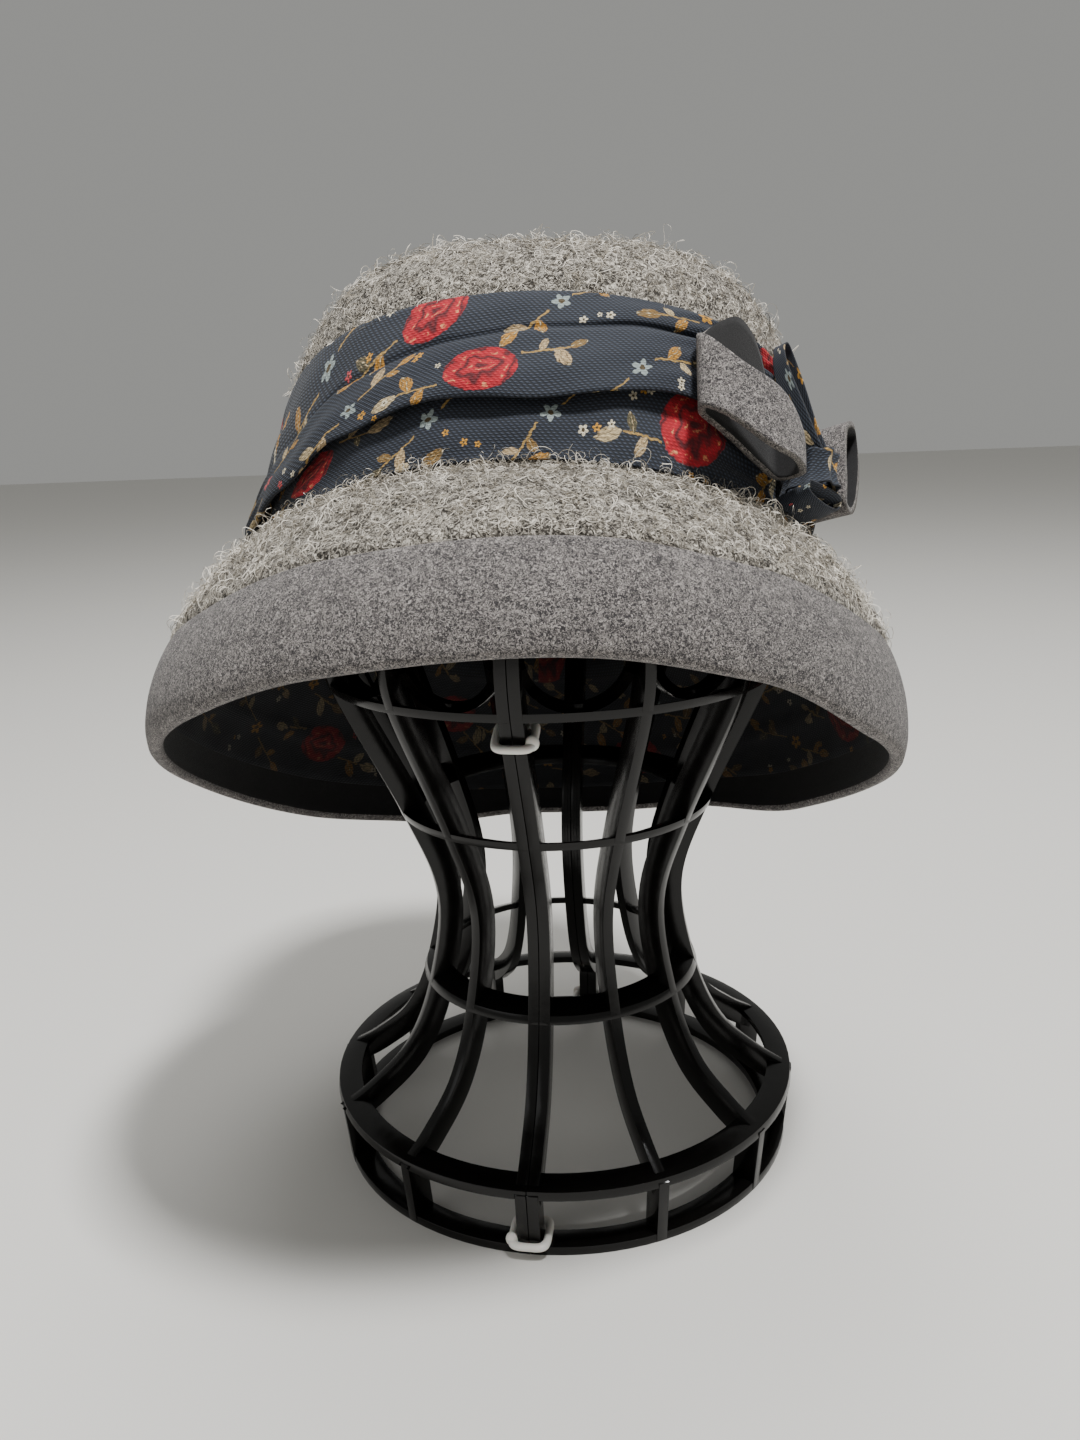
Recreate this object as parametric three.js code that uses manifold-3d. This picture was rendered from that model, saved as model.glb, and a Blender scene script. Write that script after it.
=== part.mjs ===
// A boiled-wool cloche hat, tipped back on a moulded cage hat stand.
// Millimetres, +Z up, the hat's front faces -Y. Turns are degrees round an upright axis, 0 at the
// front and 90 at +X. The hat is drawn in its own frame, whose height 0 is the foot of the crown.

import * as THREE from 'three';
import { mergeVertices } from 'three/addons/utils/BufferGeometryUtils.js';
import Module from 'manifold-3d';

const wasm = await Module();
wasm.setup();

// Clearance between pieces that touch, how far cutting bodies run past what they cut, and the
// distance within which corners count as one
const GAP = 0.3;
const OVERCUT = 1;
const MERGE_DISTANCE = 0.001;

// Stand: outer radius and height of each ring, each from the ring next to it where they go together
const BASE_RING_RADIUS = 86.4;
const FLOOR_RING_INSET = 2.4;
const FLOOR_RING_RADIUS = BASE_RING_RADIUS - FLOOR_RING_INSET;
const BASE_RING_HEIGHT = 23.3;
const WAIST_RING_RADIUS = 50.7;
const WAIST_RING_HEIGHT = 65.5;
const SLIM_RADIUS = 46;
const NECK_RING_RADIUS = 56.7;
const NECK_RING_HEIGHT = 130;
const DOME_RADIUS = 81;
const HEAD_RING_INSET = 2.5;
const HEAD_RING_RADIUS = DOME_RADIUS - HEAD_RING_INSET;
const HEAD_RING_HEIGHT = 178;
const DOME_OVER_HEAD_RING = 22;
const DOME_START_HEIGHT = HEAD_RING_HEIGHT + DOME_OVER_HEAD_RING;
const DOME_RISE = 104;
const HUB_RADIUS = 14;

// Stand: sections of its bars, and how its two halves are laid out
const BAR_DEPTH = 8.5;
const RIB_THICKNESS = 3.6;
const RING_THICKNESS = 3;
const HUB_WALL = 3;
const SPLIT_TURN = -9;
const BAYS_PER_HALF = 6;
const ARC_STEPS = 12;
const RIB_STEPS = 10;
const DOME_STEPS = 5;

// White ties that hold the halves together
const TIE_WIRE = 2.6;
const TIE_SLACK = 0.8;
const HIGH_TIE_DROP = 9;
const TIE_STEPS = 12;
const TIE_SIDES = 6;

// Hat: sizes of the crown and brim; the crown has room for the stand's dome and its own walls
const CROWN_ROOM = 11;
const CROWN_HALF_WIDTH = DOME_RADIUS + CROWN_ROOM;
const CROWN_HEIGHT = 102;
const CROWN_LEAN = 6;
const LENGTH_TO_WIDTH = 1.06;
const CORNER_SWELL = 0.05;
const BRIM_FLARE = 29.4;
const SEAM_DROP = 32;
const BRIM_DROP = 66;
const BRIM_SHIFT = 1.5;
const BRIM_LEAN = 3;
const TIP_SEAM_ROW = 8;

// Hat: walls
const WOOL_WALL = 3;
const MELTON_WALL = 2.2;
const HEM_WALL = 4.4;
const HEM_TURN_UNDER = 16;
const LINING_WALL = 1;
const LINING_DEPTH = WOOL_WALL + 3 * GAP;

// Band and bow
const BAND_HEIGHT = 55;
const BAND_CLOTH = 1.2;
const BAND_FOLD_RELIEF = 4.4;
const BAND_LOW_EDGE = 1;
const BOW_STANDOFF = 19;
const BOW_FELT_WALL = 2.2;
const BOW_PRINT_WALL = 1.4;
const BAND_BACK_STEPS = 3;
const KNOT_STEPS = 4;
const KNOT_CORNERS = 8;

// How the hat sits on the stand
const TIP_BACK = 28;
const ROLL = 1.8;
const HAT_SIDE_SHIFT = -6.4;
const ROUND_STEPS = 32;
const SEATING_TRIALS = 40;

// The foot of a rib between the base ring and the waist ring: out and rise are shares of the
// distances between the two rings
const FOOT_FLARE = [
  { out: 0.66, rise: 0.17 },
  { out: 0.27, rise: 0.47 },
];

// Sections of the crown from foot to top: rise as a share of CROWN_HEIGHT, width as a share of
// CROWN_HALF_WIDTH, corner as a share of CORNER_SWELL
const CROWN_SECTIONS = [
  { rise: 0, width: 1, corner: 0 },
  { rise: 0.12, width: 0.989, corner: 0 },
  { rise: 0.25, width: 0.976, corner: 0 },
  { rise: 0.4, width: 0.962, corner: 0.1 },
  { rise: 0.55, width: 0.952, corner: 0.2 },
  { rise: 0.66, width: 0.93, corner: 0.4 },
  { rise: 0.75, width: 0.876, corner: 0.7 },
  { rise: 0.84, width: 0.775, corner: 1 },
  { rise: 0.905, width: 0.65, corner: 1 },
  { rise: 0.955, width: 0.465, corner: 0.7 },
  { rise: 0.985, width: 0.25, corner: 0.3 },
  { rise: 1, width: 0, corner: 0 },
];

// Sections of the brim from the crown's foot to the seam: drop as a share of SEAM_DROP, flare as
// a share of BRIM_FLARE
const BRIM_TOP_SECTIONS = [
  { drop: 0, flare: 0 },
  { drop: 0.13, flare: 0.17 },
  { drop: 0.33, flare: 0.4 },
  { drop: 0.64, flare: 0.645 },
  { drop: 1, flare: 0.885 },
];

// Sections from the seam to the edge: drop as a share of the edge band's height
const BRIM_EDGE_SECTIONS = [
  { drop: 0, flare: 0.885 },
  { drop: 0.36, flare: 1 },
  { drop: 0.74, flare: 1.01 },
  { drop: 1, flare: 0.94 },
];

// The brim's wave: shares of the drops to the seam and to the edge at each turn
const BRIM_WAVE = [
  { turn: -180, seam: 1.05, edge: 0.91 },
  { turn: -155, seam: 1.05, edge: 1.0 },
  { turn: -130, seam: 1.08, edge: 1.035 },
  { turn: -95, seam: 1.08, edge: 1.01 },
  { turn: -50, seam: 1.15, edge: 1.01 },
  { turn: -25, seam: 1.06, edge: 0.975 },
  { turn: 10, seam: 0.99, edge: 0.94 },
  { turn: 30, seam: 1.06, edge: 0.965 },
  { turn: 55, seam: 1.16, edge: 1.06 },
  { turn: 120, seam: 1.08, edge: 1.04 },
  { turn: 150, seam: 1.05, edge: 0.91 },
  { turn: 180, seam: 1.05, edge: 0.91 },
];

// Folds of the band: heights of the deep lower fold and of the upper crease, as shares of
// BAND_HEIGHT, at each turn
const BAND_FOLDS = [
  { turn: -180, fold: 0.3, crease: 0.64 },
  { turn: -110, fold: 0.16, crease: 0.42 },
  { turn: -70, fold: 0.1, crease: 0.28 },
  { turn: -50, fold: 0.17, crease: 0.44 },
  { turn: -35, fold: 0.3, crease: 0.6 },
  { turn: -15, fold: 0.38, crease: 0.69 },
  { turn: 0, fold: 0.35, crease: 0.73 },
  { turn: 25, fold: 0.46, crease: 0.81 },
  { turn: 50, fold: 0.42, crease: 0.82 },
  { turn: 110, fold: 0.34, crease: 0.7 },
  { turn: 180, fold: 0.3, crease: 0.64 },
];

// The band's outer side from its lower to its upper edge. A point's height is the fold's and the
// crease's heights times their columns, plus offset; relief is a share of BAND_FOLD_RELIEF
const BAND_TIERS = [
  { fold: 0, crease: 0, offset: 0, relief: 0 },
  { fold: 1, crease: 0, offset: -0.01, relief: 0.1 },
  { fold: 1, crease: 0, offset: -0.03, relief: 0.8 },
  { fold: 0.7, crease: 0.3, offset: 0, relief: 1 },
  { fold: 0, crease: 1, offset: -0.02, relief: 0.6 },
  { fold: 0, crease: 1, offset: 0, relief: 0.3 },
  { fold: 0, crease: 0.55, offset: 0.45, relief: 0.45 },
  { fold: 0, crease: 0, offset: 1, relief: 0 },
];

// Bow loops whose cloth lies along the band: rows run round the loop; out is a share of
// BOW_STANDOFF, low and high are shares of BAND_HEIGHT
const FELT_LOOP_FRONT = [
  { turn: 46, out: 0.5, low: 0.06, high: 0.16 },
  { turn: 43, out: 0.72, low: 0.02, high: 0.24 },
  { turn: 38, out: 0.8, low: 0.04, high: 0.38 },
  { turn: 32, out: 0.66, low: 0.16, high: 0.5 },
  { turn: 27.5, out: 0.42, low: 0.25, high: 0.67 },
  { turn: 28.5, out: 0.15, low: 0.28, high: 0.75 },
  { turn: 33, out: 0.08, low: 0.24, high: 0.89 },
  { turn: 37.5, out: 0.08, low: 0.18, high: 0.95 },
  { turn: 42, out: 0.08, low: 0.13, high: 0.82 },
  { turn: 46, out: 0.1, low: 0.1, high: 0.44 },
];
const FELT_LOOP_BACK = [
  { turn: 59.5, out: 0.4, low: 0.14, high: 0.54 },
  { turn: 61.5, out: 0.6, low: 0.12, high: 0.68 },
  { turn: 65, out: 0.72, low: 0.09, high: 0.7 },
  { turn: 69, out: 0.74, low: 0.06, high: 0.68 },
  { turn: 72, out: 0.62, low: 0.06, high: 0.66 },
  { turn: 72, out: 0.4, low: 0.08, high: 0.64 },
  { turn: 67, out: 0.08, low: 0.12, high: 0.6 },
  { turn: 62, out: 0.06, low: 0.14, high: 0.5 },
  { turn: 60, out: 0.18, low: 0.14, high: 0.44 },
];

// Bow loops whose cloth stands out from the band: near and far are shares of BOW_STANDOFF
const PRINT_LOOP_UPPER = [
  { turn: 53.2, rise: 0.29, near: 0.02, far: 0.56 },
  { turn: 50.6, rise: 0.52, near: 0.02, far: 0.44 },
  { turn: 48.4, rise: 0.78, near: 0.02, far: 0.28 },
  { turn: 48.2, rise: 0.9, near: 0.02, far: 0.22 },
  { turn: 49.4, rise: 0.95, near: 0.02, far: 0.22 },
  { turn: 51, rise: 0.9, near: 0.02, far: 0.24 },
  { turn: 53, rise: 0.74, near: 0.02, far: 0.32 },
  { turn: 55.4, rise: 0.52, near: 0.02, far: 0.4 },
  { turn: 56.4, rise: 0.31, near: 0.02, far: 0.54 },
];
const PRINT_LOOP_LOWER = [
  { turn: 50, rise: 0.03, near: -0.17, far: 0.6 },
  { turn: 48, rise: -0.01, near: -0.1, far: 0.56 },
  { turn: 48.6, rise: -0.06, near: 0.02, far: 0.54 },
  { turn: 53, rise: -0.08, near: 0.06, far: 0.56 },
  { turn: 57, rise: -0.06, near: 0.02, far: 0.6 },
  { turn: 57.6, rise: 0, near: -0.1, far: 0.64 },
  { turn: 56, rise: 0.04, near: -0.17, far: 0.66 },
];
const KNOT = { from: 49.4, to: 58, low: 0.075, high: 0.26, near: -0.2, far: 0.74, waist: 0.85 };

const radians = THREE.MathUtils.degToRad;

// Value of a column at a turn, on a smooth curve through the table's rows
function atTurn(table, column, turn) {
  const wrapped = THREE.MathUtils.euclideanModulo(turn + 180, 360) - 180;
  let next = 1;
  while (table[next].turn < wrapped) next += 1;
  const from = table[next - 1];
  const to = table[next];
  const share = THREE.MathUtils.smoothstep(wrapped, from.turn, to.turn);
  return THREE.MathUtils.lerp(from[column], to[column], share);
}

// Closed body through a row of sections with equal numbers of corners; the row either closes on
// itself or ends in two flat faces
function sweep(sections, closes) {
  const corners = sections[0].length;
  const positions = sections.flatMap((section) => section.flatMap((point) => point.toArray()));
  const faces = [];
  const spans = closes ? sections.length : sections.length - 1;
  for (let i = 0; i < spans; i += 1) {
    const here = i * corners;
    const there = ((i + 1) % sections.length) * corners;
    for (let j = 0; j < corners; j += 1) {
      const next = (j + 1) % corners;
      faces.push([here + j, there + j, there + next], [here + j, there + next, here + next]);
    }
  }
  if (!closes) {
    const last = (sections.length - 1) * corners;
    for (let j = 1; j < corners - 1; j += 1) {
      faces.push([0, j, j + 1], [last, last + j + 1, last + j]);
    }
  }
  return closedGeometry(positions, faces);
}

// Merges corners that share a place, drops faces that lost their area, and turns the faces out
function closedGeometry(positions, faces) {
  let geometry = new THREE.BufferGeometry();
  geometry.setAttribute('position', new THREE.Float32BufferAttribute(positions, 3));
  geometry.setIndex(faces.flat());
  geometry = mergeVertices(geometry, MERGE_DISTANCE);
  const index = geometry.getIndex().array;
  const kept = [];
  for (let i = 0; i < index.length; i += 3) {
    const [a, b, c] = [index[i], index[i + 1], index[i + 2]];
    if (a !== b && b !== c && c !== a) kept.push([a, b, c]);
  }
  const place = geometry.getAttribute('position');
  const corner = (k) => new THREE.Vector3().fromBufferAttribute(place, k);
  let volume = 0;
  for (const [a, b, c] of kept) volume += corner(a).dot(corner(b).cross(corner(c)));
  geometry.setIndex(kept.flatMap(([a, b, c]) => (volume > 0 ? [a, b, c] : [a, c, b])));
  geometry.computeVertexNormals();
  return geometry;
}

function toSolid(geometry) {
  return new wasm.Manifold(new wasm.Mesh({
    numProp: 3,
    vertProperties: Float32Array.from(geometry.getAttribute('position').array),
    triVerts: Uint32Array.from(geometry.getIndex().array),
  }));
}

function toGeometry(solid) {
  const mesh = solid.getMesh();
  const geometry = new THREE.BufferGeometry();
  geometry.setAttribute('position', new THREE.BufferAttribute(mesh.vertProperties, 3));
  geometry.setIndex(new THREE.BufferAttribute(mesh.triVerts, 1));
  geometry.computeVertexNormals();
  return geometry;
}

function finish(color, roughness) {
  return new THREE.MeshStandardMaterial({ color, roughness, metalness: 0 });
}

const BLACK_PLASTIC = finish('#14120f', 0.25);
const WHITE_NYLON = finish('#e9e6df', 0.45);
const CURLY_WOOL = finish('#8f887a', 1);
const MELTON_WOOL = finish('#6b6668', 0.95);
const PRINTED_COTTON = finish('#232a38', 0.9);
const LINING_COTTON = finish('#2a2027', 0.9);

const part = new THREE.Group();

function add(parent, name, geometry, material) {
  const mesh = new THREE.Mesh(geometry, material);
  mesh.name = name;
  parent.add(mesh);
}

// Outer edge of a rib from the floor to the hub, as (radius, height) points
function ribOutline() {
  const flare = BASE_RING_RADIUS - WAIST_RING_RADIUS;
  const flareHeight = WAIST_RING_HEIGHT - BASE_RING_HEIGHT;
  const curve = new THREE.SplineCurve([
    new THREE.Vector2(BASE_RING_RADIUS, BASE_RING_HEIGHT),
    ...FOOT_FLARE.map(({ out, rise }) => new THREE.Vector2(
      WAIST_RING_RADIUS + out * flare,
      BASE_RING_HEIGHT + rise * flareHeight,
    )),
    new THREE.Vector2(WAIST_RING_RADIUS, WAIST_RING_HEIGHT),
    new THREE.Vector2(SLIM_RADIUS, (WAIST_RING_HEIGHT + NECK_RING_HEIGHT) / 2),
    new THREE.Vector2(NECK_RING_RADIUS, NECK_RING_HEIGHT),
    new THREE.Vector2(HEAD_RING_RADIUS, HEAD_RING_HEIGHT),
    new THREE.Vector2(DOME_RADIUS, DOME_START_HEIGHT),
  ]);
  const points = curve.getPoints(RIB_STEPS);
  points.unshift(new THREE.Vector2(FLOOR_RING_RADIUS, 0));
  return points.concat(domeOutline());
}

// Outer edge of the dome from its widest ring to the hub
function domeOutline() {
  const end = Math.acos((HUB_RADIUS + GAP) / DOME_RADIUS);
  return Array.from({ length: DOME_STEPS }, (_, i) => {
    const lift = (end * (i + 1)) / DOME_STEPS;
    return new THREE.Vector2(
      DOME_RADIUS * Math.cos(lift),
      DOME_START_HEIGHT + DOME_RISE * Math.sin(lift),
    );
  });
}

// Unit vector that points into the stand, square to an outline, at each of its points
function inwardNormals(outline) {
  return outline.map((point, i) => {
    const before = outline[Math.max(i - 1, 0)];
    const after = outline[Math.min(i + 1, outline.length - 1)];
    const along = after.clone().sub(before).normalize();
    return new THREE.Vector2(-along.y, along.x);
  });
}

// Point at a radius, height and turn round the stand, moved sideways off that turn's plane
function standPoint(radius, height, turn, side) {
  const angle = radians(turn);
  return new THREE.Vector3(
    radius * Math.sin(angle) + side * Math.cos(angle),
    -radius * Math.cos(angle) + side * Math.sin(angle),
    height,
  );
}

// Bar that follows the rib outline at a turn, between two depths and two sideways places
function ribBar(turn, fromDepth, toDepth, fromSide, toSide) {
  const outline = ribOutline();
  const normals = inwardNormals(outline);
  const at = (i, depth, side) => standPoint(
    outline[i].x + depth * normals[i].x,
    Math.max(outline[i].y + depth * normals[i].y, 0),
    turn,
    side,
  );
  normals[0].set(-1, 0);
  normals.at(-1).set(0, -1);
  return sweep(outline.map((_, i) => [
    at(i, fromDepth, fromSide),
    at(i, toDepth, fromSide),
    at(i, toDepth, toSide),
    at(i, fromDepth, toSide),
  ]), false);
}

// Where the rings cross the ribs, with the direction of each ring's strap as rise per depth
const RINGS = [
  { name: 'ring_floor', radius: FLOOR_RING_RADIUS, height: RING_THICKNESS / 2, tilt: 0 },
  { name: 'ring_base', radius: BASE_RING_RADIUS, height: BASE_RING_HEIGHT, tilt: 25 },
  { name: 'ring_waist', radius: WAIST_RING_RADIUS, height: WAIST_RING_HEIGHT, tilt: 20 },
  { name: 'ring_neck', radius: NECK_RING_RADIUS, height: NECK_RING_HEIGHT, tilt: -18 },
  { name: 'ring_head', radius: HEAD_RING_RADIUS, height: HEAD_RING_HEIGHT, tilt: -15 },
];

// Half of a strap ring between two depths; extra is a turn added or cut off at both of its ends
function ringBar(ring, fromDepth, toDepth, thickness, startTurn, extra) {
  const slope = radians(ring.tilt);
  const corner = (depth, lift, turn) => standPoint(
    ring.radius - depth * Math.cos(slope) - lift * Math.sin(slope),
    ring.height + depth * Math.sin(slope) + lift * Math.cos(slope),
    turn,
    0,
  );
  const half = thickness / 2;
  const turns = Array.from({ length: ARC_STEPS + 1 }, (_, i) => startTurn + (180 * i) / ARC_STEPS);
  if (extra < 0) {
    turns[0] -= extra;
    turns[ARC_STEPS] += extra;
  } else {
    turns.unshift(startTurn - extra);
    turns.push(startTurn + 180 + extra);
  }
  return sweep(turns.map((turn) => [
    corner(fromDepth, -half, turn),
    corner(toDepth, -half, turn),
    corner(toDepth, half, turn),
    corner(fromDepth, half, turn),
  ]), false);
}

// One moulded half of the stand: ribs and strap rings that halve each other where they cross
function addStandHalf(side, startTurn) {
  const bay = 180 / BAYS_PER_HALF;
  const lap = BAR_DEPTH / 2;
  const ribs = Array.from({ length: BAYS_PER_HALF + 1 }, (_, i) => {
    const first = i === 0;
    const last = i === BAYS_PER_HALF;
    const low = first ? GAP / 2 : -RIB_THICKNESS / 2;
    const from = last ? -RIB_THICKNESS - GAP / 2 : low;
    return { turn: startTurn + i * bay, from, to: from + RIB_THICKNESS };
  });
  const wholeRibs = ribs.map((rib) => toSolid(
    ribBar(rib.turn, -OVERCUT, BAR_DEPTH + OVERCUT, rib.from - GAP, rib.to + GAP),
  ));
  const outerHalf = (ring, depth, thickness) => toSolid(
    ringBar(ring, -2 * OVERCUT, depth, thickness, startTurn, 180 / ARC_STEPS),
  );
  for (const ring of RINGS) {
    const split = THREE.MathUtils.radToDeg(GAP / 2 / ring.radius);
    let solid = toSolid(ringBar(ring, 0, BAR_DEPTH, RING_THICKNESS, startTurn, -split));
    const kept = outerHalf(ring, lap - GAP / 2, RING_THICKNESS + 2 * OVERCUT);
    for (const rib of wholeRibs) solid = solid.subtract(rib.subtract(kept));
    add(part, `stand_${side}_${ring.name}`, toGeometry(solid), BLACK_PLASTIC);
  }
  const slots = RINGS.map((ring) => outerHalf(ring, lap + GAP / 2, RING_THICKNESS + 2 * GAP));
  ribs.forEach((rib, i) => {
    let solid = toSolid(ribBar(rib.turn, 0, BAR_DEPTH, rib.from, rib.to));
    for (const slot of slots) solid = solid.subtract(slot);
    add(part, `stand_${side}_rib_${i + 1}`, toGeometry(solid), BLACK_PLASTIC);
  });
  addHub(side, startTurn);
}

// Half of the short tube at the top of the dome, which the ribs run up to
function addHub(side, startTurn) {
  const split = THREE.MathUtils.radToDeg(GAP / 2 / (HUB_RADIUS - HUB_WALL));
  const top = domeOutline().at(-1).y;
  const sections = Array.from({ length: ARC_STEPS + 1 }, (_, i) => {
    const turn = THREE.MathUtils.lerp(startTurn + split, startTurn + 180 - split, i / ARC_STEPS);
    return [
      standPoint(HUB_RADIUS, top - BAR_DEPTH, turn, 0),
      standPoint(HUB_RADIUS - HUB_WALL, top - BAR_DEPTH, turn, 0),
      standPoint(HUB_RADIUS - HUB_WALL, top, turn, 0),
      standPoint(HUB_RADIUS, top, turn, 0),
    ];
  });
  add(part, `stand_${side}_ring_top`, sweep(sections, false), BLACK_PLASTIC);
}

// Closed tie round the pair of ribs at the split, square to the ribs, at a height of their outline
function addTie(name, turn, height) {
  const outline = ribOutline();
  const normals = inwardNormals(outline);
  const above = outline.findIndex((point) => point.y > height);
  const share = (height - outline[above - 1].y) / (outline[above].y - outline[above - 1].y);
  const start = outline[above - 1].clone().lerp(outline[above], share);
  const inward = normals[above - 1].clone().lerp(normals[above], share).normalize();
  const halfWidth = RIB_THICKNESS + GAP / 2 + TIE_SLACK + TIE_WIRE / 2;
  const halfDepth = BAR_DEPTH / 2 + TIE_SLACK + TIE_WIRE / 2;
  const squared = (value) => Math.sign(value) * Math.sqrt(Math.abs(value));
  const wire = (angle, grow, lift) => {
    const depth = BAR_DEPTH / 2 - (halfDepth + grow) * squared(Math.cos(angle));
    return standPoint(
      start.x + depth * inward.x - lift * inward.y,
      start.y + depth * inward.y + lift * inward.x,
      turn,
      (halfWidth + grow) * squared(Math.sin(angle)),
    );
  };
  const sections = Array.from({ length: TIE_STEPS }, (_, i) => (
    Array.from({ length: TIE_SIDES }, (_s, k) => {
      const roll = (2 * Math.PI * k) / TIE_SIDES;
      const half = TIE_WIRE / 2;
      return wire((2 * Math.PI * i) / TIE_STEPS, half * Math.cos(roll), half * Math.sin(roll));
    })
  ));
  add(part, name, sweep(sections, true), WHITE_NYLON);
}

// Rows of the hat's outer surface from the brim's edge to the top of the crown
function hatRows() {
  const edgeDepth = BRIM_DROP - SEAM_DROP;
  const edge = BRIM_EDGE_SECTIONS.slice(1).reverse().map((row) => ({
    radius: CROWN_HALF_WIDTH + BRIM_FLARE * row.flare,
    height: -SEAM_DROP - edgeDepth * row.drop,
    corner: 0,
  }));
  const top = BRIM_TOP_SECTIONS.slice(1).reverse().map((row) => ({
    radius: CROWN_HALF_WIDTH + BRIM_FLARE * row.flare,
    height: -SEAM_DROP * row.drop,
    corner: 0,
  }));
  const crown = CROWN_SECTIONS.map((row) => ({
    radius: CROWN_HALF_WIDTH * row.width,
    height: CROWN_HEIGHT * row.rise,
    corner: row.corner,
  }));
  const rows = [...edge, ...top, ...crown];
  rows.forEach((row, i) => {
    const before = rows[Math.max(i - 1, 0)];
    const after = rows[Math.min(i + 1, rows.length - 1)];
    const slope = Math.hypot(after.radius - before.radius, after.height - before.height);
    row.outR = (after.height - before.height) / slope;
    row.outH = (before.radius - after.radius) / slope;
  });
  rows.at(-1).outR = 0;
  rows.at(-1).outH = 1;
  return rows;
}

const HAT_ROWS = hatRows();
const SEAM_AT = BRIM_EDGE_SECTIONS.length - 1;
const FOOT_AT = SEAM_AT + BRIM_TOP_SECTIONS.length - 1;
const TIP_AT = FOOT_AT + TIP_SEAM_ROW;
const TOP_AT = HAT_ROWS.length - 1;

// Share by which the brim's wave lengthens its drop at a height and turn
function waveAt(height, turn) {
  if (height >= 0) return 1;
  const seam = atTurn(BRIM_WAVE, 'seam', turn);
  const edge = atTurn(BRIM_WAVE, 'edge', turn);
  if (height > -SEAM_DROP) return THREE.MathUtils.lerp(1, seam, -height / SEAM_DROP);
  return THREE.MathUtils.lerp(seam, edge, (-height - SEAM_DROP) / (BRIM_DROP - SEAM_DROP));
}

// Radius and height of a row at a turn, moved outward from the outer surface
function rowAt(row, turn, out) {
  const swell = 1 - CORNER_SWELL * row.corner * Math.cos(4 * radians(turn));
  return {
    radius: Math.max(row.radius * swell + out * row.outR, 0),
    height: row.height * waveAt(row.height, turn) + out * row.outH,
  };
}

function hatPoint(radius, height, turn) {
  const angle = radians(turn);
  const rise = height / CROWN_HEIGHT;
  const shift = BRIM_SHIFT + (height > 0 ? CROWN_LEAN : BRIM_LEAN) * rise;
  return new THREE.Vector3(
    radius * Math.sin(angle) + shift,
    -LENGTH_TO_WIDTH * radius * Math.cos(angle),
    height,
  );
}

// Point over a row of the hat's surface
function surfacePoint(row, turn, out) {
  const { radius, height } = rowAt(row, turn, out);
  return hatPoint(radius, height, turn);
}

// Row of the hat's surface at a height between its sections
function rowBetween(height) {
  let next = 1;
  while (next < TOP_AT && HAT_ROWS[next].height < height) next += 1;
  const low = HAT_ROWS[next - 1];
  const high = HAT_ROWS[next];
  const share = (height - low.height) / (high.height - low.height);
  const row = {};
  for (const key of Object.keys(low)) row[key] = THREE.MathUtils.lerp(low[key], high[key], share);
  return row;
}

const TURNS = Array.from({ length: ROUND_STEPS }, (_, i) => (360 * i) / ROUND_STEPS - 180);

// Every second row of the crown, for the faces that lie inside it
function insideRows(rows) {
  return rows.filter((row) => {
    const at = HAT_ROWS.indexOf(row);
    return at < FOOT_AT || at === TOP_AT || (at - FOOT_AT) % 2 === 0;
  });
}

// Shell between two depths of the hat's surface, from one row to another
function addShell(parent, name, rows, outer, inner, material) {
  const outside = outer < 0 ? insideRows(rows) : rows;
  const inside = insideRows(rows).reverse();
  const sections = TURNS.map((turn) => [
    ...outside.map((row) => surfacePoint(row, turn, outer)),
    ...inside.map((row) => surfacePoint(row, turn, inner)),
  ]);
  add(parent, name, sweep(sections, true), material);
}

// Rows kept a touch apart where two walls of the hat meet edge to edge
function trimmed(rows, low, high) {
  const copy = rows.slice();
  if (low) copy[0] = rowBetween(copy[0].height + low);
  if (high) copy[copy.length - 1] = rowBetween(copy.at(-1).height - high);
  return copy;
}

function addBrimEdge(hat) {
  const rows = HAT_ROWS.slice(0, SEAM_AT + 1);
  const outer = trimmed(rows, 0, GAP);
  const hemTop = -BRIM_DROP + HEM_TURN_UNDER;
  const inner = [
    { row: outer.at(-1), out: -MELTON_WALL },
    { row: rowBetween(hemTop + GAP), out: -MELTON_WALL },
    { row: rowBetween(hemTop), out: -HEM_WALL },
    { row: rowBetween((hemTop - BRIM_DROP) / 2), out: -HEM_WALL },
    { row: rowBetween(GAP - BRIM_DROP), out: -HEM_WALL },
  ];
  const sections = TURNS.map((turn) => [
    ...outer.map((row) => surfacePoint(row, turn, 0)),
    ...inner.map(({ row, out }) => surfacePoint(row, turn, out)),
  ]);
  add(hat, 'brim_edge', sweep(sections, true), MELTON_WOOL);
}

function addCrownAndBrim(hat) {
  addShell(hat, 'brim_top', HAT_ROWS.slice(SEAM_AT, FOOT_AT + 1), 0, -WOOL_WALL, CURLY_WOOL);
  const side = trimmed(HAT_ROWS.slice(FOOT_AT, TIP_AT + 1), GAP, GAP);
  addShell(hat, 'crown_side', side, 0, -WOOL_WALL, CURLY_WOOL);
  addShell(hat, 'crown_tip', HAT_ROWS.slice(TIP_AT), 0, -MELTON_WALL, MELTON_WOOL);
  const lined = HAT_ROWS.slice(SEAM_AT - 1);
  lined[0] = rowBetween(-BRIM_DROP + HEM_TURN_UNDER + 2 * GAP);
  addShell(hat, 'lining', lined, -LINING_DEPTH, -LINING_DEPTH - LINING_WALL, LINING_COTTON);
}

// Height of a share of the band above its lower edge
function bandHeight(share) {
  return BAND_LOW_EDGE + (BAND_HEIGHT - BAND_LOW_EDGE) * share;
}

function bandPoint(share, turn, out) {
  return surfacePoint(rowBetween(bandHeight(share)), turn, out);
}

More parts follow.
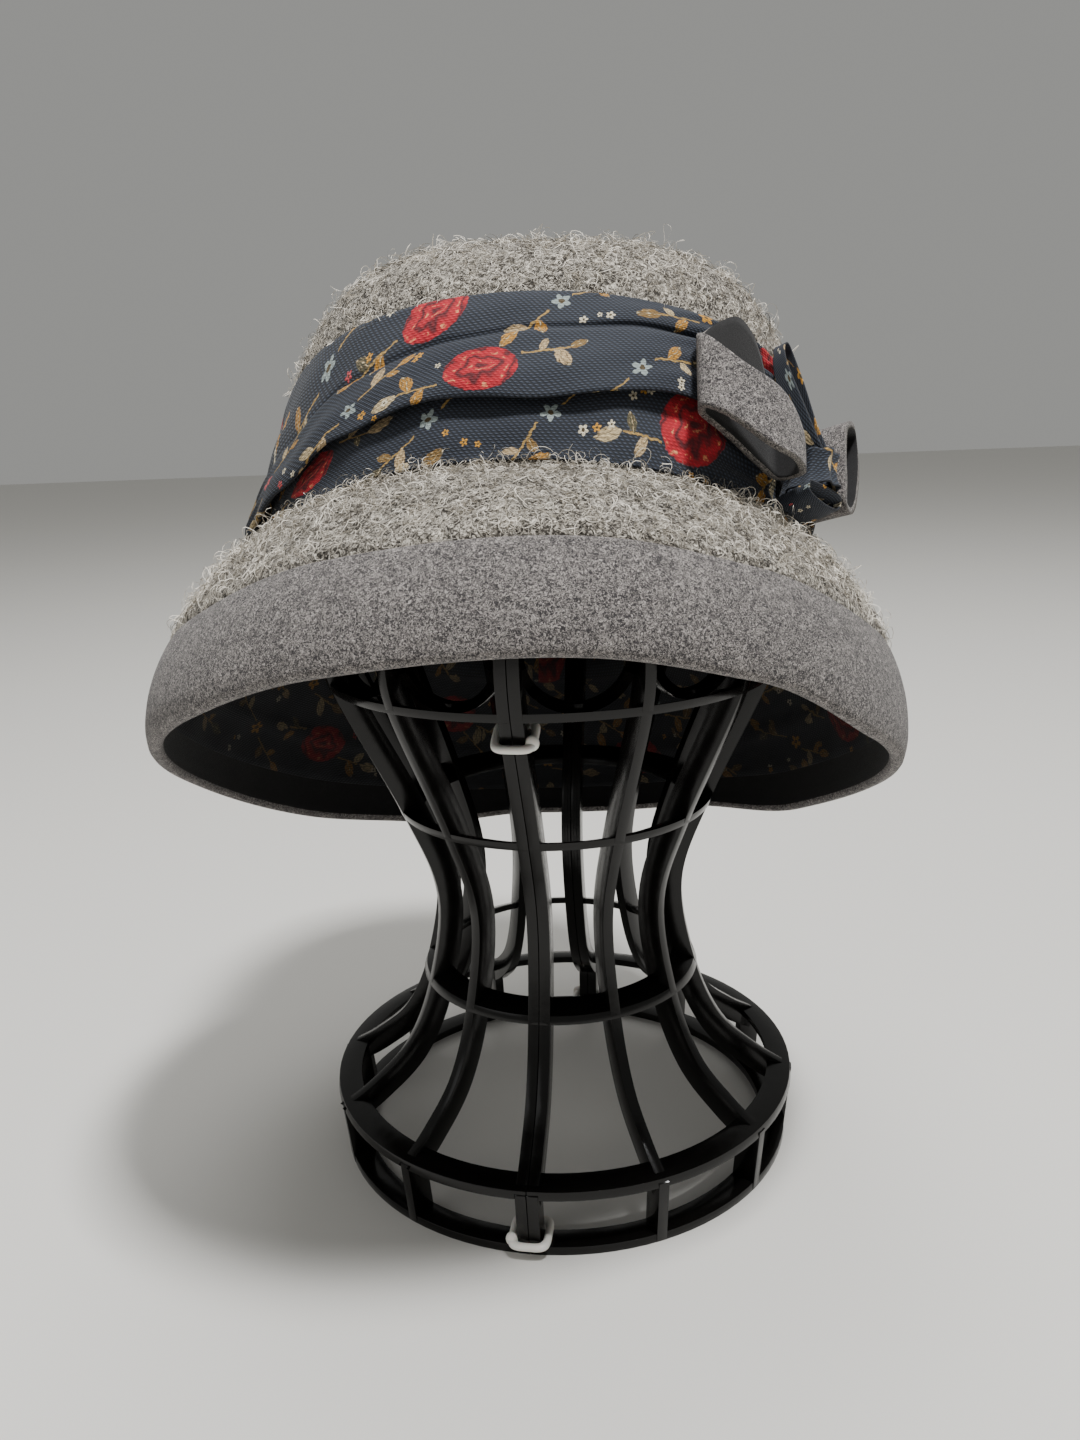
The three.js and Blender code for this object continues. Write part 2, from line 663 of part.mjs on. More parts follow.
// Printed band in three tiers: the middle one hangs over the lowest, the top one runs behind it
function addBand(hat) {
  const sections = TURNS.map((turn) => {
    const fold = atTurn(BAND_FOLDS, 'fold', turn);
    const crease = atTurn(BAND_FOLDS, 'crease', turn);
    const front = BAND_TIERS.map((row) => ({
      share: row.fold * fold + row.crease * crease + row.offset,
      out: GAP + BAND_CLOTH + row.relief * BAND_FOLD_RELIEF,
    }));
    const back = Array.from({ length: BAND_BACK_STEPS + 1 }, (_, i) => ({
      share: 1 - i / BAND_BACK_STEPS,
      out: GAP,
    }));
    return [...front, ...back].map(({ share, out }) => bandPoint(share, turn, out));
  });
  add(hat, 'hat_band', sweep(sections, true), PRINTED_COTTON);
}

// Point in front of the band's fullest fold, on smooth ground for the bow
function bowPoint(turn, rise, out) {
  const ground = GAP + BAND_CLOTH + BAND_FOLD_RELIEF;
  return bandPoint(Math.max(rise, 0), turn, ground + out * BOW_STANDOFF)
    .setZ(bandPoint(Math.max(rise, 0), turn, ground).z + Math.min(rise, 0) * BAND_HEIGHT);
}

// Loop of cloth from a ring of edge pairs: each section is the cloth's own thickness across
function clothLoop(pairs, wall) {
  return sweep(pairs.map(([low, high], i) => {
    const before = pairs.at(i - 1);
    const after = pairs[(i + 1) % pairs.length];
    const along = after[0].clone().add(after[1]).sub(before[0]).sub(before[1]);
    const across = high.clone().sub(low);
    const thick = along.cross(across).setLength(wall / 2);
    return [
      low.clone().add(thick),
      high.clone().add(thick),
      high.clone().sub(thick),
      low.clone().sub(thick),
    ];
  }), true);
}

function addBow(hat) {
  const lying = (rows) => rows.map((row) => [
    bowPoint(row.turn, row.low, row.out),
    bowPoint(row.turn, row.high, row.out),
  ]);
  const standing = (rows) => rows.map((row) => [
    bowPoint(row.turn, row.rise, row.near),
    bowPoint(row.turn, row.rise, row.far),
  ]);
  add(hat, 'bow_felt_front', clothLoop(lying(FELT_LOOP_FRONT), BOW_FELT_WALL), MELTON_WOOL);
  add(hat, 'bow_felt_back', clothLoop(lying(FELT_LOOP_BACK), BOW_FELT_WALL), MELTON_WOOL);
  const upper = clothLoop(standing(PRINT_LOOP_UPPER), BOW_PRINT_WALL);
  add(hat, 'bow_print_upper', upper, PRINTED_COTTON);
  const lower = clothLoop(standing(PRINT_LOOP_LOWER), BOW_PRINT_WALL);
  add(hat, 'bow_print_lower', lower, PRINTED_COTTON);
  add(hat, 'bow_knot', knotGeometry(), PRINTED_COTTON);
}

// Gathered cloth that the loops spring from, pulled in at its middle
function knotGeometry() {
  const middle = (KNOT.from + KNOT.to) / 2;
  const halfTurn = (KNOT.to - KNOT.from) / 2;
  const halfDepth = (KNOT.far - KNOT.near) / 2;
  return sweep(Array.from({ length: KNOT_STEPS + 1 }, (_, i) => {
    const share = i / KNOT_STEPS;
    const pull = THREE.MathUtils.lerp(KNOT.waist, 1, (2 * share - 1) ** 2);
    return Array.from({ length: KNOT_CORNERS }, (_c, k) => {
      const angle = (2 * Math.PI * k) / KNOT_CORNERS;
      return bowPoint(
        middle + halfTurn * pull * Math.cos(angle),
        THREE.MathUtils.lerp(KNOT.low, KNOT.high, share),
        KNOT.near + halfDepth * (1 + pull * Math.sin(angle)),
      );
    });
  }), false);
}

const HAT_TURN = new THREE.Matrix4().makeRotationFromEuler(
  new THREE.Euler(-radians(TIP_BACK), radians(ROLL), 0, 'XYZ'),
);

// Room left between a point of the stand and the lining, for a hat at a height on the stand
function roomAt(point, hatHeight) {
  const local = point.clone()
    .sub(new THREE.Vector3(HAT_SIDE_SHIFT, 0, hatHeight))
    .applyMatrix4(HAT_TURN.clone().invert());
  const centre = hatPoint(0, local.z, 0).x;
  const turn = THREE.MathUtils.radToDeg(
    Math.atan2(local.x - centre, -local.y / LENGTH_TO_WIDTH),
  );
  const reach = Math.hypot(local.x - centre, local.y / LENGTH_TO_WIDTH);
  const inside = -LINING_DEPTH - LINING_WALL;
  const facet = Math.cos(Math.PI / ROUND_STEPS);
  const wall = insideRows(HAT_ROWS.slice(FOOT_AT)).map((row) => {
    const { radius, height } = rowAt(row, turn, inside);
    return new THREE.Vector2(radius * facet, height);
  });
  let room = Infinity;
  for (let i = 1; i < wall.length; i += 1) {
    const along = wall[i].clone().sub(wall[i - 1]);
    const inward = new THREE.Vector2(-along.y, along.x).normalize();
    const offset = new THREE.Vector2(reach, local.z).sub(wall[i - 1]);
    room = Math.min(room, offset.dot(inward));
  }
  return room;
}

// Height at which the hat comes to rest on the dome
function restHeight() {
  const points = domeOutline().flatMap((point) => TURNS.map((turn) => (
    standPoint(point.x, point.y, turn, 0)
  )));
  let low = 0;
  let high = DOME_START_HEIGHT + DOME_RISE;
  for (let i = 0; i < SEATING_TRIALS; i += 1) {
    const middle = (low + high) / 2;
    const clear = points.every((point) => roomAt(point, middle) > GAP);
    if (clear) high = middle;
    else low = middle;
  }
  return high;
}

addStandHalf('right', SPLIT_TURN);
addStandHalf('left', SPLIT_TURN + 180);
const LOW_TIE_HEIGHT = RING_THICKNESS + TIE_WIRE / 2 + 2 * GAP;
addTie('clip_front_bottom', SPLIT_TURN, LOW_TIE_HEIGHT);
addTie('clip_rear_bottom', SPLIT_TURN + 180, LOW_TIE_HEIGHT);
addTie('clip_front_top', SPLIT_TURN, HEAD_RING_HEIGHT - HIGH_TIE_DROP);

const hat = new THREE.Group();
addCrownAndBrim(hat);
addBrimEdge(hat);
addBand(hat);
addBow(hat);
hat.applyMatrix4(HAT_TURN);
hat.position.set(HAT_SIDE_SHIFT, 0, restHeight());
part.add(hat);

// The origin is under the middle of the whole, on the floor
part.updateMatrixWorld(true);
const bounds = new THREE.Box3().setFromObject(part, true);
const middle = bounds.getCenter(new THREE.Vector3());
part.position.set(-middle.x, -middle.y, -bounds.min.z);
part.updateMatrixWorld(true);

export default part;
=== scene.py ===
"""Builds the looks of a boiled-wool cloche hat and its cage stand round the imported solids."""

import math

import bmesh
import bpy
import numpy as np
from bpy.props import FloatProperty, FloatVectorProperty, IntProperty, PointerProperty
from mathutils import Matrix, Vector


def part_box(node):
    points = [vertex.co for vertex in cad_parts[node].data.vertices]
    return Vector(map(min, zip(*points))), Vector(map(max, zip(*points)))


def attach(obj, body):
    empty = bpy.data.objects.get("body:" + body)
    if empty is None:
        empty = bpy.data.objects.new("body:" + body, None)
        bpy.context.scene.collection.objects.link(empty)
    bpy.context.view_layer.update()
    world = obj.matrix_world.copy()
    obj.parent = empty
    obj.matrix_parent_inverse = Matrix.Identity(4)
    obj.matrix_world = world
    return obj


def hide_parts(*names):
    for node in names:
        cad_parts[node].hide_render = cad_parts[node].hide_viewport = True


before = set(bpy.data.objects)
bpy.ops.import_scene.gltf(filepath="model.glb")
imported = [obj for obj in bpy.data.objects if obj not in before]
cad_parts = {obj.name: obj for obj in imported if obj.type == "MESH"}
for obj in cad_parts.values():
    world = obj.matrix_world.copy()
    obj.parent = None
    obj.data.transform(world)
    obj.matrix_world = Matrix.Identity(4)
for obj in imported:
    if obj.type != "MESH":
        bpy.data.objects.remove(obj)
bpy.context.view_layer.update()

bl_info = {
    "name": "Cloche Hat on a Cage Stand",
    "version": (1, 0, 0),
    "blender": (4, 5, 0),
    "location": "View3D > Sidebar > Hat",
    "description": "Dresses a cloche hat and its cage stand with felt, wool, printed cotton and plastic",
    "category": "Add Mesh",
}

MM = 0.001

# The hat's own height is 0 at the foot of the crown; turns are degrees round it, 0 at the front
# and 90 at the side of the bow.

# Sections of the crown: rise as a share of its height, width as a share of its half width, corner
# as a share of the corner swell
CROWN_SECTIONS = {
    "rise": (0, 0.12, 0.25, 0.4, 0.55, 0.66, 0.75, 0.84, 0.905, 0.955, 0.985, 1),
    "width": (1, 0.989, 0.976, 0.962, 0.952, 0.93, 0.876, 0.775, 0.65, 0.465, 0.25, 0),
    "corner": (0, 0, 0, 0.1, 0.2, 0.4, 0.7, 1, 1, 0.7, 0.3, 0),
}
TIP_SEAM_ROW = 8

# Sections of the brim from its seam up to the crown: drop as a share of the seam's drop, flare as a
# share of the brim's flare
BRIM_TOP_SECTIONS = {
    "drop": (1, 0.64, 0.33, 0.13),
    "flare": (0.885, 0.645, 0.4, 0.17),
}

# Sections of the brim's edge band from its lower edge up, with the same shares, but drop as a share
# of the edge band's own height
BRIM_EDGE_SECTIONS = {
    "drop": (1, 0.74, 0.36),
    "flare": (0.94, 1.01, 1),
}

# The brim's wave round the hat: how many times its plain drop the seam and the edge hang down
BRIM_WAVE = {
    "turn": (-180, -155, -130, -95, -50, -25, 10, 30, 55, 120, 150, 180),
    "seam": (1.05, 1.05, 1.08, 1.08, 1.15, 1.06, 0.99, 1.06, 1.16, 1.08, 1.05, 1.05),
    "edge": (0.91, 1.0, 1.035, 1.01, 1.01, 0.975, 0.94, 0.965, 1.06, 1.04, 0.91, 0.91),
}

# Heights of the band's deep lower fold and of its upper crease, as shares of its height
BAND_FOLDS = {
    "turn": (-180, -110, -70, -50, -35, -15, 0, 25, 50, 110, 180),
    "fold": (0.3, 0.16, 0.1, 0.17, 0.3, 0.38, 0.35, 0.46, 0.42, 0.34, 0.3),
    "crease": (0.64, 0.42, 0.28, 0.44, 0.6, 0.69, 0.73, 0.81, 0.82, 0.7, 0.64),
}

# Path of the band's cloth from its lower edge to its upper edge. A point's height is the fold's
# and the crease's heights times their columns, plus offset; out is millimetres off the crown
BAND_PATH = {
    "fold": (0, 0.5, 1, 1, 1, 1, 1, 1, 0.85, 0.5, 0.12, 0, 0, 0, 0, 0, 0, 0),
    "crease": (0, 0, 0, 0, 0, 0, 0, 0, 0.15, 0.5, 0.88, 1, 1, 0.88, 0.5, 0.15, 0, 0),
    "offset": (0, 0, -0.02, 0.05, 0.08, 0.04, -0.04, -0.05, 0.0, 0, 0, -0.01, 0.02, 0.12, 0.5,
               0.85, 0.99, 0.985),
    "out": (0.7, 1.5, 1.3, 1.2, 2.2, 3.2, 4.4, 5.7, 6.2, 5.8, 4.9, 3.2, 2.7, 3.4, 3.3, 2.2,
            1.5, 0.7),
}

# Front felt loop, whose cloth lies along the band: out is a share of the bow's standoff, low and
# high are shares of the band's height
FELT_LOOP_FRONT = {
    "turn": (46, 43, 38, 32, 27.5, 28.5, 33, 37.5, 42, 46),
    "out": (0.5, 0.72, 0.8, 0.66, 0.42, 0.15, 0.08, 0.08, 0.08, 0.1),
    "low": (0.06, 0.02, 0.04, 0.16, 0.25, 0.28, 0.24, 0.18, 0.13, 0.1),
    "high": (0.16, 0.24, 0.38, 0.5, 0.67, 0.75, 0.89, 0.95, 0.82, 0.44),
}

# The other loops, whose cloth stands out from the band: near and far are shares of the standoff
FELT_LOOP_BACK = {
    "turn": (61.5, 60, 59.5, 59.5, 61, 63.5, 66.5, 69.5, 71.5, 70.5, 66),
    "rise": (0.54, 0.38, 0.22, 0.1, 0.05, 0.07, 0.2, 0.38, 0.56, 0.66, 0.63),
    "near": (0.06, 0.06, 0.06, 0.06, 0.06, 0.06, 0.06, 0.06, 0.06, 0.06, 0.06),
    "far": (0.72, 0.7, 0.68, 0.66, 0.64, 0.64, 0.68, 0.72, 0.74, 0.74, 0.74),
}
PRINT_LOOP_UPPER = {
    "turn": (53.2, 50.6, 48.4, 48.2, 49.4, 51, 53, 55.4, 56.4),
    "rise": (0.29, 0.52, 0.78, 0.9, 0.95, 0.9, 0.74, 0.52, 0.31),
    "near": (0.02, 0.02, 0.02, 0.02, 0.02, 0.02, 0.02, 0.02, 0.02),
    "far": (0.56, 0.44, 0.28, 0.22, 0.22, 0.24, 0.32, 0.4, 0.54),
}
PRINT_LOOP_LOWER = {
    "turn": (50, 48, 48.6, 53, 57, 57.6, 56),
    "rise": (0.03, -0.01, -0.06, -0.08, -0.06, 0, 0.04),
    "near": (-0.17, -0.1, 0.02, 0.06, 0.02, -0.1, -0.17),
    "far": (0.6, 0.56, 0.54, 0.56, 0.6, 0.64, 0.66),
}

# The print: leaves as shares of the way along a sprig, with their lean and size
SPRIG_LEAVES = {
    "along": (0.35, 0.7, 1.05),
    "lean": (58, -52, 8),
    "size": (0.95, 0.9, 1.0),
}

# The knot is a gathered ring of cloth: its middle and half its size, as a turn and as a share of the
# standoff, and its lower edge and height as shares of the band's height
KNOT = {"turn": 53.7, "half_turn": 4.3, "out": 0.27, "half_out": 0.47, "low": 0.075, "rise": 0.185}
KNOT_GATHERS = 9

# Strips that the loops and the knot are cut from: length and width
FELT_STRIP = (120 * MM, 30 * MM)
PRINT_STRIP = (90 * MM, 16 * MM)
KNOT_STRIP = (50 * MM, 12 * MM)

# How far from a seam's stitches the cloth still sinks
WOOL_SEAM_WIDTH = 2.3 * MM
MELTON_SEAM_WIDTH = 1 * MM

# Rows of the stand's outline, from the base ring to the dome's foot and over the dome, and its flare
# over the base ring as shares of its reach and of its rise
OUTLINE_ROWS = 57
DOME_ROWS = 20
STAND_FLARE = ((0.66, 0.17), (0.27, 0.47))

# Where the bow and the fold at the left pucker the band: turn and spread in degrees
BAND_PUCKERS = ((45, 16), (-74, 13))

# The print in millimetres: its repeat, how far a motif of size 1 reaches, where a stem reaches to the
# ends of its own box, and a place that no motif reaches
PRINT_REPEAT = (41.0, 26.0)
MOTIF_REACH = {"rose": 17.0, "leaf": 7.5, "blossom": 5.5, "stem": 1.0}
OFF_THE_PRINT = 500

# Points that merge when a closed grid is joined, and when ribs and rings meet
SAME_POINT = 0.001 * MM


def linear(code):
    """Linear colour of an sRGB hex code."""
    shares = [int(code[i:i + 2], 16) / 255 for i in (1, 3, 5)]
    return [s / 12.92 if s <= 0.04045 else ((s + 0.055) / 1.055) ** 2.4 for s in shares] + [1.0]


def colour(name, description, code):
    """Colour setting whose default is an sRGB hex code."""
    return FloatVectorProperty(
        name=name, description=description, subtype="COLOR", size=4, min=0, max=1,
        default=linear(code),
    )


def length(name, description, millimetres):
    """Length setting, given in millimetres."""
    return FloatProperty(
        name=name, description=description, unit="LENGTH", precision=4,
        default=millimetres * MM,
    )


class StandSizes(bpy.types.PropertyGroup):
    """Sizes of the cage stand."""

    floor_radius: length("Floor ring", "Outer radius of the ring on the floor", 84)
    base_radius: length("Base ring", "Outer radius of the ring over the floor ring", 86.4)
    base_height: length("Base ring height", "Height of the base ring", 23.3)
    waist_radius: length("Waist ring", "Outer radius of the waist ring", 50.7)
    waist_height: length("Waist ring height", "Height of the waist ring", 65.5)
    slim_radius: length("Slimmest radius", "Outer radius between waist and neck", 46)
    neck_radius: length("Neck ring", "Outer radius of the neck ring", 56.7)
    neck_height: length("Neck ring height", "Height of the neck ring", 130)
    head_radius: length("Head ring", "Outer radius of the head ring", 78.5)
    head_height: length("Head ring height", "Height of the head ring", 178)
    dome_radius: length("Dome", "Outer radius of the dome", 81)
    dome_start: length("Dome foot", "Height at which the dome begins", 200)
    dome_rise: length("Dome rise", "Height of the dome over its foot", 104)
    hub_radius: length("Hub", "Outer radius of the tube on top of the dome", 14)
    bar_depth: length("Bar depth", "Depth of ribs and rings towards the axis", 8.5)
    rib_thickness: length("Rib thickness", "Thickness of a rib", 3.6)
    ring_thickness: length("Ring thickness", "Thickness of a ring", 3)
    split_gap: length("Split", "Gap between the two moulded halves", 0.3)
    tie_wire: length("Tie wire", "Thickness of the white ties", 2.6)
    split_turn: FloatProperty(
        name="Split turn", description="Turn of the joint between the halves, in degrees",
        default=-9,
    )
    bays: IntProperty(name="Bays", description="Spaces between ribs in each half", default=6)


class HatSizes(bpy.types.PropertyGroup):
    """Sizes of the crown and the brim."""

    half_width: length("Half width", "Half of the crown's width at its foot", 92)
    crown_height: length("Crown height", "Height of the crown", 102)
    crown_lean: length("Crown lean", "How far the top of the crown leans to the bow's side", 6)
    brim_flare: length("Brim flare", "How far the brim stands out from the crown", 29.4)
    brim_shift: length("Brim shift", "How far the crown's foot sits to the bow's side", 1.5)
    brim_lean: length("Brim lean", "Lean of the brim, for each crown height", 3)
    seam_drop: length("Seam drop", "Depth of the brim's seam under the crown's foot", 32)
    brim_drop: length("Brim drop", "Depth of the brim's edge under the crown's foot", 66)
    wool_wall: length("Wool wall", "Thickness of the boiled wool", 3)
    melton_wall: length("Melton wall", "Thickness of the melton", 2.2)
    seam_dip: length("Seam dip", "How deep the wool sinks into its seams", 2.2)
    hem_depth: length("Hem", "How far the melton turns up inside the brim", 16)
    lining_depth: length("Lining depth", "Depth of the lining under the hat's surface", 3.9)
    side_shift: length("Side shift", "How far the hat sits off the stand's axis", -6.4)
    length_to_width: FloatProperty(
        name="Length to width", description="Front to back size for each width", default=1.06,
    )
    corner_swell: FloatProperty(
        name="Corner swell", description="How square the top of the crown is", default=0.05,
    )
    tip_back: FloatProperty(
        name="Tip back", description="How far the hat is tipped back",
        subtype="ANGLE", default=math.radians(28),
    )
    roll: FloatProperty(
        name="Roll", description="How far the hat leans to the side",
        subtype="ANGLE", default=math.radians(1.8),
    )


class TrimSizes(bpy.types.PropertyGroup):
    """Sizes of the band, the bow and the curly fibres."""

    band_height: length("Band height", "Height of the band over the crown's foot", 55)
    band_foot: length("Band foot", "Height of the band's lower edge", 1)
    band_cloth: length("Band cloth", "Thickness of the printed cotton", 0.5)
    bow_ground: length("Bow ground", "How far off the crown the bow begins", 5.9)
    bow_standoff: length("Bow standoff", "How far the bow stands out from the band", 19)
    bow_felt: length("Bow felt", "Thickness of the bow's felt", 2.0)
    curl_length: length("Curl length", "Length of a wool fibre that shows", 9)
    curl_radius: length("Curl radius", "Radius of a fibre's curl", 1.4)
    curl_lift: length("Curl lift", "How far the fibres stand off the wool", 1.5)
    curl_width: length("Curl width", "Width of a fibre as drawn", 0.17)
    curls: IntProperty(
        name="Curls", description="Fibres on the crown, and on each half of the brim",
        default=10500,
    )


class Finishes(bpy.types.PropertyGroup):
    """Colours of the materials."""

    stand: colour("Stand", "Black moulded plastic", "#0b0a09")
    ties: colour("Ties", "White moulded nylon", "#e9e6df")
    # Partly painted shade: this dark tone darkens the wool's ground under the curls and the low fibres
    wool_dark: colour("Wool ground", "Dark ground of the boiled wool", "#2b251e")
    wool_light: colour("Wool fibres", "Pale fibres of the boiled wool", "#f2eadb")
    melton_dark: colour("Melton ground", "Dark fibres of the melton", "#262325")
    melton_light: colour("Melton flecks", "Pale flecks of the melton", "#b9b2ad")
    cotton: colour("Cotton", "Ground of the printed cotton", "#131720")
    rose: colour("Roses", "Red of the printed roses", "#a00619")
    floor: colour("Floor", "Plain pale floor", "#dcdad5")


def smooth_curve(values, at):
    """Values on a smooth curve through a row of numbers, at places counted along the row."""
    values = np.asarray(values, float)
    last = len(values) - 1
    at = np.clip(at, 0, last)
    i = np.minimum(at.astype(int), last - 1)
    f = at - i
    before, here = values[np.maximum(i - 1, 0)], values[i]
    there, after = values[i + 1], values[np.minimum(i + 2, last)]
    bend = 2 * before - 5 * here + 4 * there - after + f * (3 * (here - there) + after - before)
    return here + 0.5 * f * (there - before + f * bend)


def round_curve(values, share):
    """Values on a smooth closed curve through a row of numbers, at shares of the way round."""
    ring = np.concatenate([values[-2:], values, values[:3]])
    return smooth_curve(ring, 2 + (share % 1) * len(values))


def at_turn(table, column, turn):
    """A table's column at turns in degrees, eased from row to row."""
    turns, values = np.array(table["turn"], float), np.array(table[column], float)
    wrapped = (turn + 180) % 360 - 180
    i = np.clip(np.searchsorted(turns, wrapped, side="right") - 1, 0, len(turns) - 2)
    share = (wrapped - turns[i]) / (turns[i + 1] - turns[i])
    share = share * share * (3 - 2 * share)
    return values[i] + share * (values[i + 1] - values[i])


def seam_dip(distance, depth, width):
    """How far the cloth sinks at a distance from a seam, in metres."""
    return -depth * np.exp(-(distance / width) ** 2)


def denser_ends(share):
    """Shares of the way between two seams, closer together near both, where the cloth sinks."""
    return share - 0.75 * np.sin(2 * np.pi * share) / (2 * np.pi)


def full_turn(share):
    """Turn in degrees at a share of the way round the hat, from the rear and back to it."""
    return share * 360 - 180


def stand_axis():
    """Where the stand's axis meets the floor, in metres."""
    boxes = [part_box(f"stand_{side}_ring_floor") for side in ("left", "right")]
    low = [min(box[0][i] for box in boxes) for i in (0, 1)]
    high = [max(box[1][i] for box in boxes) for i in (0, 1)]
    return Vector(((low[0] + high[0]) / 2, (low[1] + high[1]) / 2, 0))


class HatForm:
    """The hat's outer surface, as rows from the brim's edge to the top of the crown."""

    def __init__(self, sizes):
        self.sizes = sizes
        band = sizes.brim_drop - sizes.seam_drop
        drops = [sizes.seam_drop + band * d for d in BRIM_EDGE_SECTIONS["drop"]]
        drops += [sizes.seam_drop * d for d in BRIM_TOP_SECTIONS["drop"]]
        flares = BRIM_EDGE_SECTIONS["flare"] + BRIM_TOP_SECTIONS["flare"]
        radii = [sizes.half_width + sizes.brim_flare * f for f in flares]
        radii += [sizes.half_width * w for w in CROWN_SECTIONS["width"]]
        heights = [-d for d in drops] + [sizes.crown_height * r for r in CROWN_SECTIONS["rise"]]
        corners = [0] * len(drops) + list(CROWN_SECTIONS["corner"])
        self.seam = len(BRIM_EDGE_SECTIONS["drop"])
        self.foot = len(drops)
        self.tip = self.foot + TIP_SEAM_ROW
        self.top = len(heights) - 1
        # A row past the top mirrors the last one, so that the top is round
        self.radii = np.array(radii + [-radii[-2]])
        self.heights = np.array(heights + [heights[-2]])
        self.corners = np.array(corners + [corners[-2]])
        self.fine = np.linspace(0, self.top, 40 * self.top + 1)
        line = np.stack([smooth_curve(self.radii, self.fine), smooth_curve(self.heights, self.fine)])
        steps = np.hypot(*np.diff(line, axis=1))
        self.travel = np.concatenate([[0], np.cumsum(steps)])
        self.turned = (
            Matrix.Rotation(-sizes.tip_back, 3, "X") @ Matrix.Rotation(sizes.roll, 3, "Y")
        )
        self.seat = stand_axis() + Vector((sizes.side_shift, 0, 0))
        tips = self.skin(*np.meshgrid(np.arange(self.tip, self.top + 1.0), np.arange(0, 360, 11.25)))
        self.seat.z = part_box("crown_tip")[1].z - tips[:, 2].max()

    def row_at(self, height):
        """The row at a height, in metres over the crown's foot."""
        return np.interp(height, smooth_curve(self.heights, self.fine), self.fine)

    def row_after(self, distance):
        """The row at a distance along the surface from the brim's edge, in metres."""
        return np.interp(distance, self.travel, self.fine)

    def distance_to(self, row):
        """The distance along the surface from the brim's edge to a row."""
        return np.interp(row, self.fine, self.travel)

    def sunk(self, distance):
        """How far the wool sinks into its two seams, at a distance from the brim's edge."""
        dips = [
            seam_dip(distance - self.distance_to(row), self.sizes.seam_dip, WOOL_SEAM_WIDTH)
            for row in (self.seam, self.tip)
        ]
        return dips[0] + dips[1]

    def wave(self, height, turn):
        """How much longer the brim's drop is at a height and turn."""
        sizes = self.sizes
        seam, edge = at_turn(BRIM_WAVE, "seam", turn), at_turn(BRIM_WAVE, "edge", turn)
        upper = np.clip(-height / sizes.seam_drop, 0, 1)
        lower = np.clip(
            (-height - sizes.seam_drop) / (sizes.brim_drop - sizes.seam_drop), 0, 1.2,
        )
        return 1 + (seam - 1) * upper + (edge - seam) * lower

    def skin(self, row, turn, out=0.0):
        """Points over the surface, in metres in the shared frame, as an array of rows of three."""
        row, turn, out = (np.asarray(a, float).ravel() for a in np.broadcast_arrays(row, turn, out))
        sizes, step = self.sizes, 0.01
        radius, height = smooth_curve(self.radii, row), smooth_curve(self.heights, row)
        across = smooth_curve(self.radii, row + step) - smooth_curve(self.radii, row - step)
        upward = smooth_curve(self.heights, row + step) - smooth_curve(self.heights, row - step)
        slope = np.maximum(np.hypot(across, upward), 1e-9)
        corner = smooth_curve(self.corners, row)
        angle = np.radians(turn)
        swell = 1 - sizes.corner_swell * corner * np.cos(4 * angle)
        reach = np.maximum(radius * swell + out * upward / slope, 0)
        level = height * self.wave(height, turn) - out * across / slope
        lean = np.where(level > 0, sizes.crown_lean, sizes.brim_lean)
        shift = sizes.brim_shift + lean * level / sizes.crown_height
        local = np.stack([
            reach * np.sin(angle) + shift,
            -sizes.length_to_width * reach * np.cos(angle),
            level,
        ], axis=1)
        return local @ np.array(self.turned).T + np.array(self.seat)


class BandForm:
    """The band's folded cloth, and the smooth ground in front of it that carries the bow."""

    def __init__(self, hat, sizes):
        self.hat = hat
        self.sizes = sizes
        self.steps = np.linspace(0, len(BAND_PATH["out"]) - 1, 400)
        height, out = self.path(self.steps, np.zeros_like(self.steps))
        line = np.hypot(np.diff(height), np.diff(out))
        self.travel = np.concatenate([[0], np.cumsum(line)])
        self.cut = float(self.travel[-1])

    def path(self, step, turn):
        """Height over the crown's foot and distance off the crown, along the cloth's path."""
        fold, crease = at_turn(BAND_FOLDS, "fold", turn), at_turn(BAND_FOLDS, "crease", turn)
        share = smooth_curve(BAND_PATH["offset"], step)
        share = share + smooth_curve(BAND_PATH["fold"], step) * fold
        share = share + smooth_curve(BAND_PATH["crease"], step) * crease
        return self.level(share), smooth_curve(BAND_PATH["out"], step) * MM

    def level(self, share):
        """Height at a share of the way up the band."""
        return self.sizes.band_foot + (self.sizes.band_height - self.sizes.band_foot) * share

    def cloth(self, turn, share):
        """Points of the cloth at shares of the way across its cut."""
        step = np.interp(share * self.cut, self.travel, self.steps)
        height, out = self.path(step, turn)
        angle = np.radians(turn)
        # Both edges lie flat, and the wrinkles fade in over the next 6 percent of the cut
        free = np.clip(np.minimum(share, 1 - share) / 0.06, 0, 1)
        wrinkle = np.sin(angle * 23 + share * 9) + np.sin(angle * 9 - share * 31)
        puckered = sum(np.exp(-((turn - at) / spread) ** 2) for at, spread in BAND_PUCKERS)
        pleats = np.sin(share * 62 + 1.5 * np.sin(angle * 7))
        out = out + free * (0.2 * MM * wrinkle + 0.8 * MM * puckered * pleats)
        return self.hat.skin(self.hat.row_at(height), turn, out)

    def before(self, turn, rise, out):
        """Points in front of the band, at shares of its height and of the bow's standoff."""
        sizes = self.sizes
        row = self.hat.row_at(self.level(np.maximum(rise, 0)))
        points = self.hat.skin(row, turn, sizes.bow_ground + out * sizes.bow_standoff)
        # What hangs under the band goes straight down from its lower edge
        upwards = np.array(self.hat.turned.col[2])
        return points + np.minimum(rise, 0)[:, None] * sizes.band_height * upwards


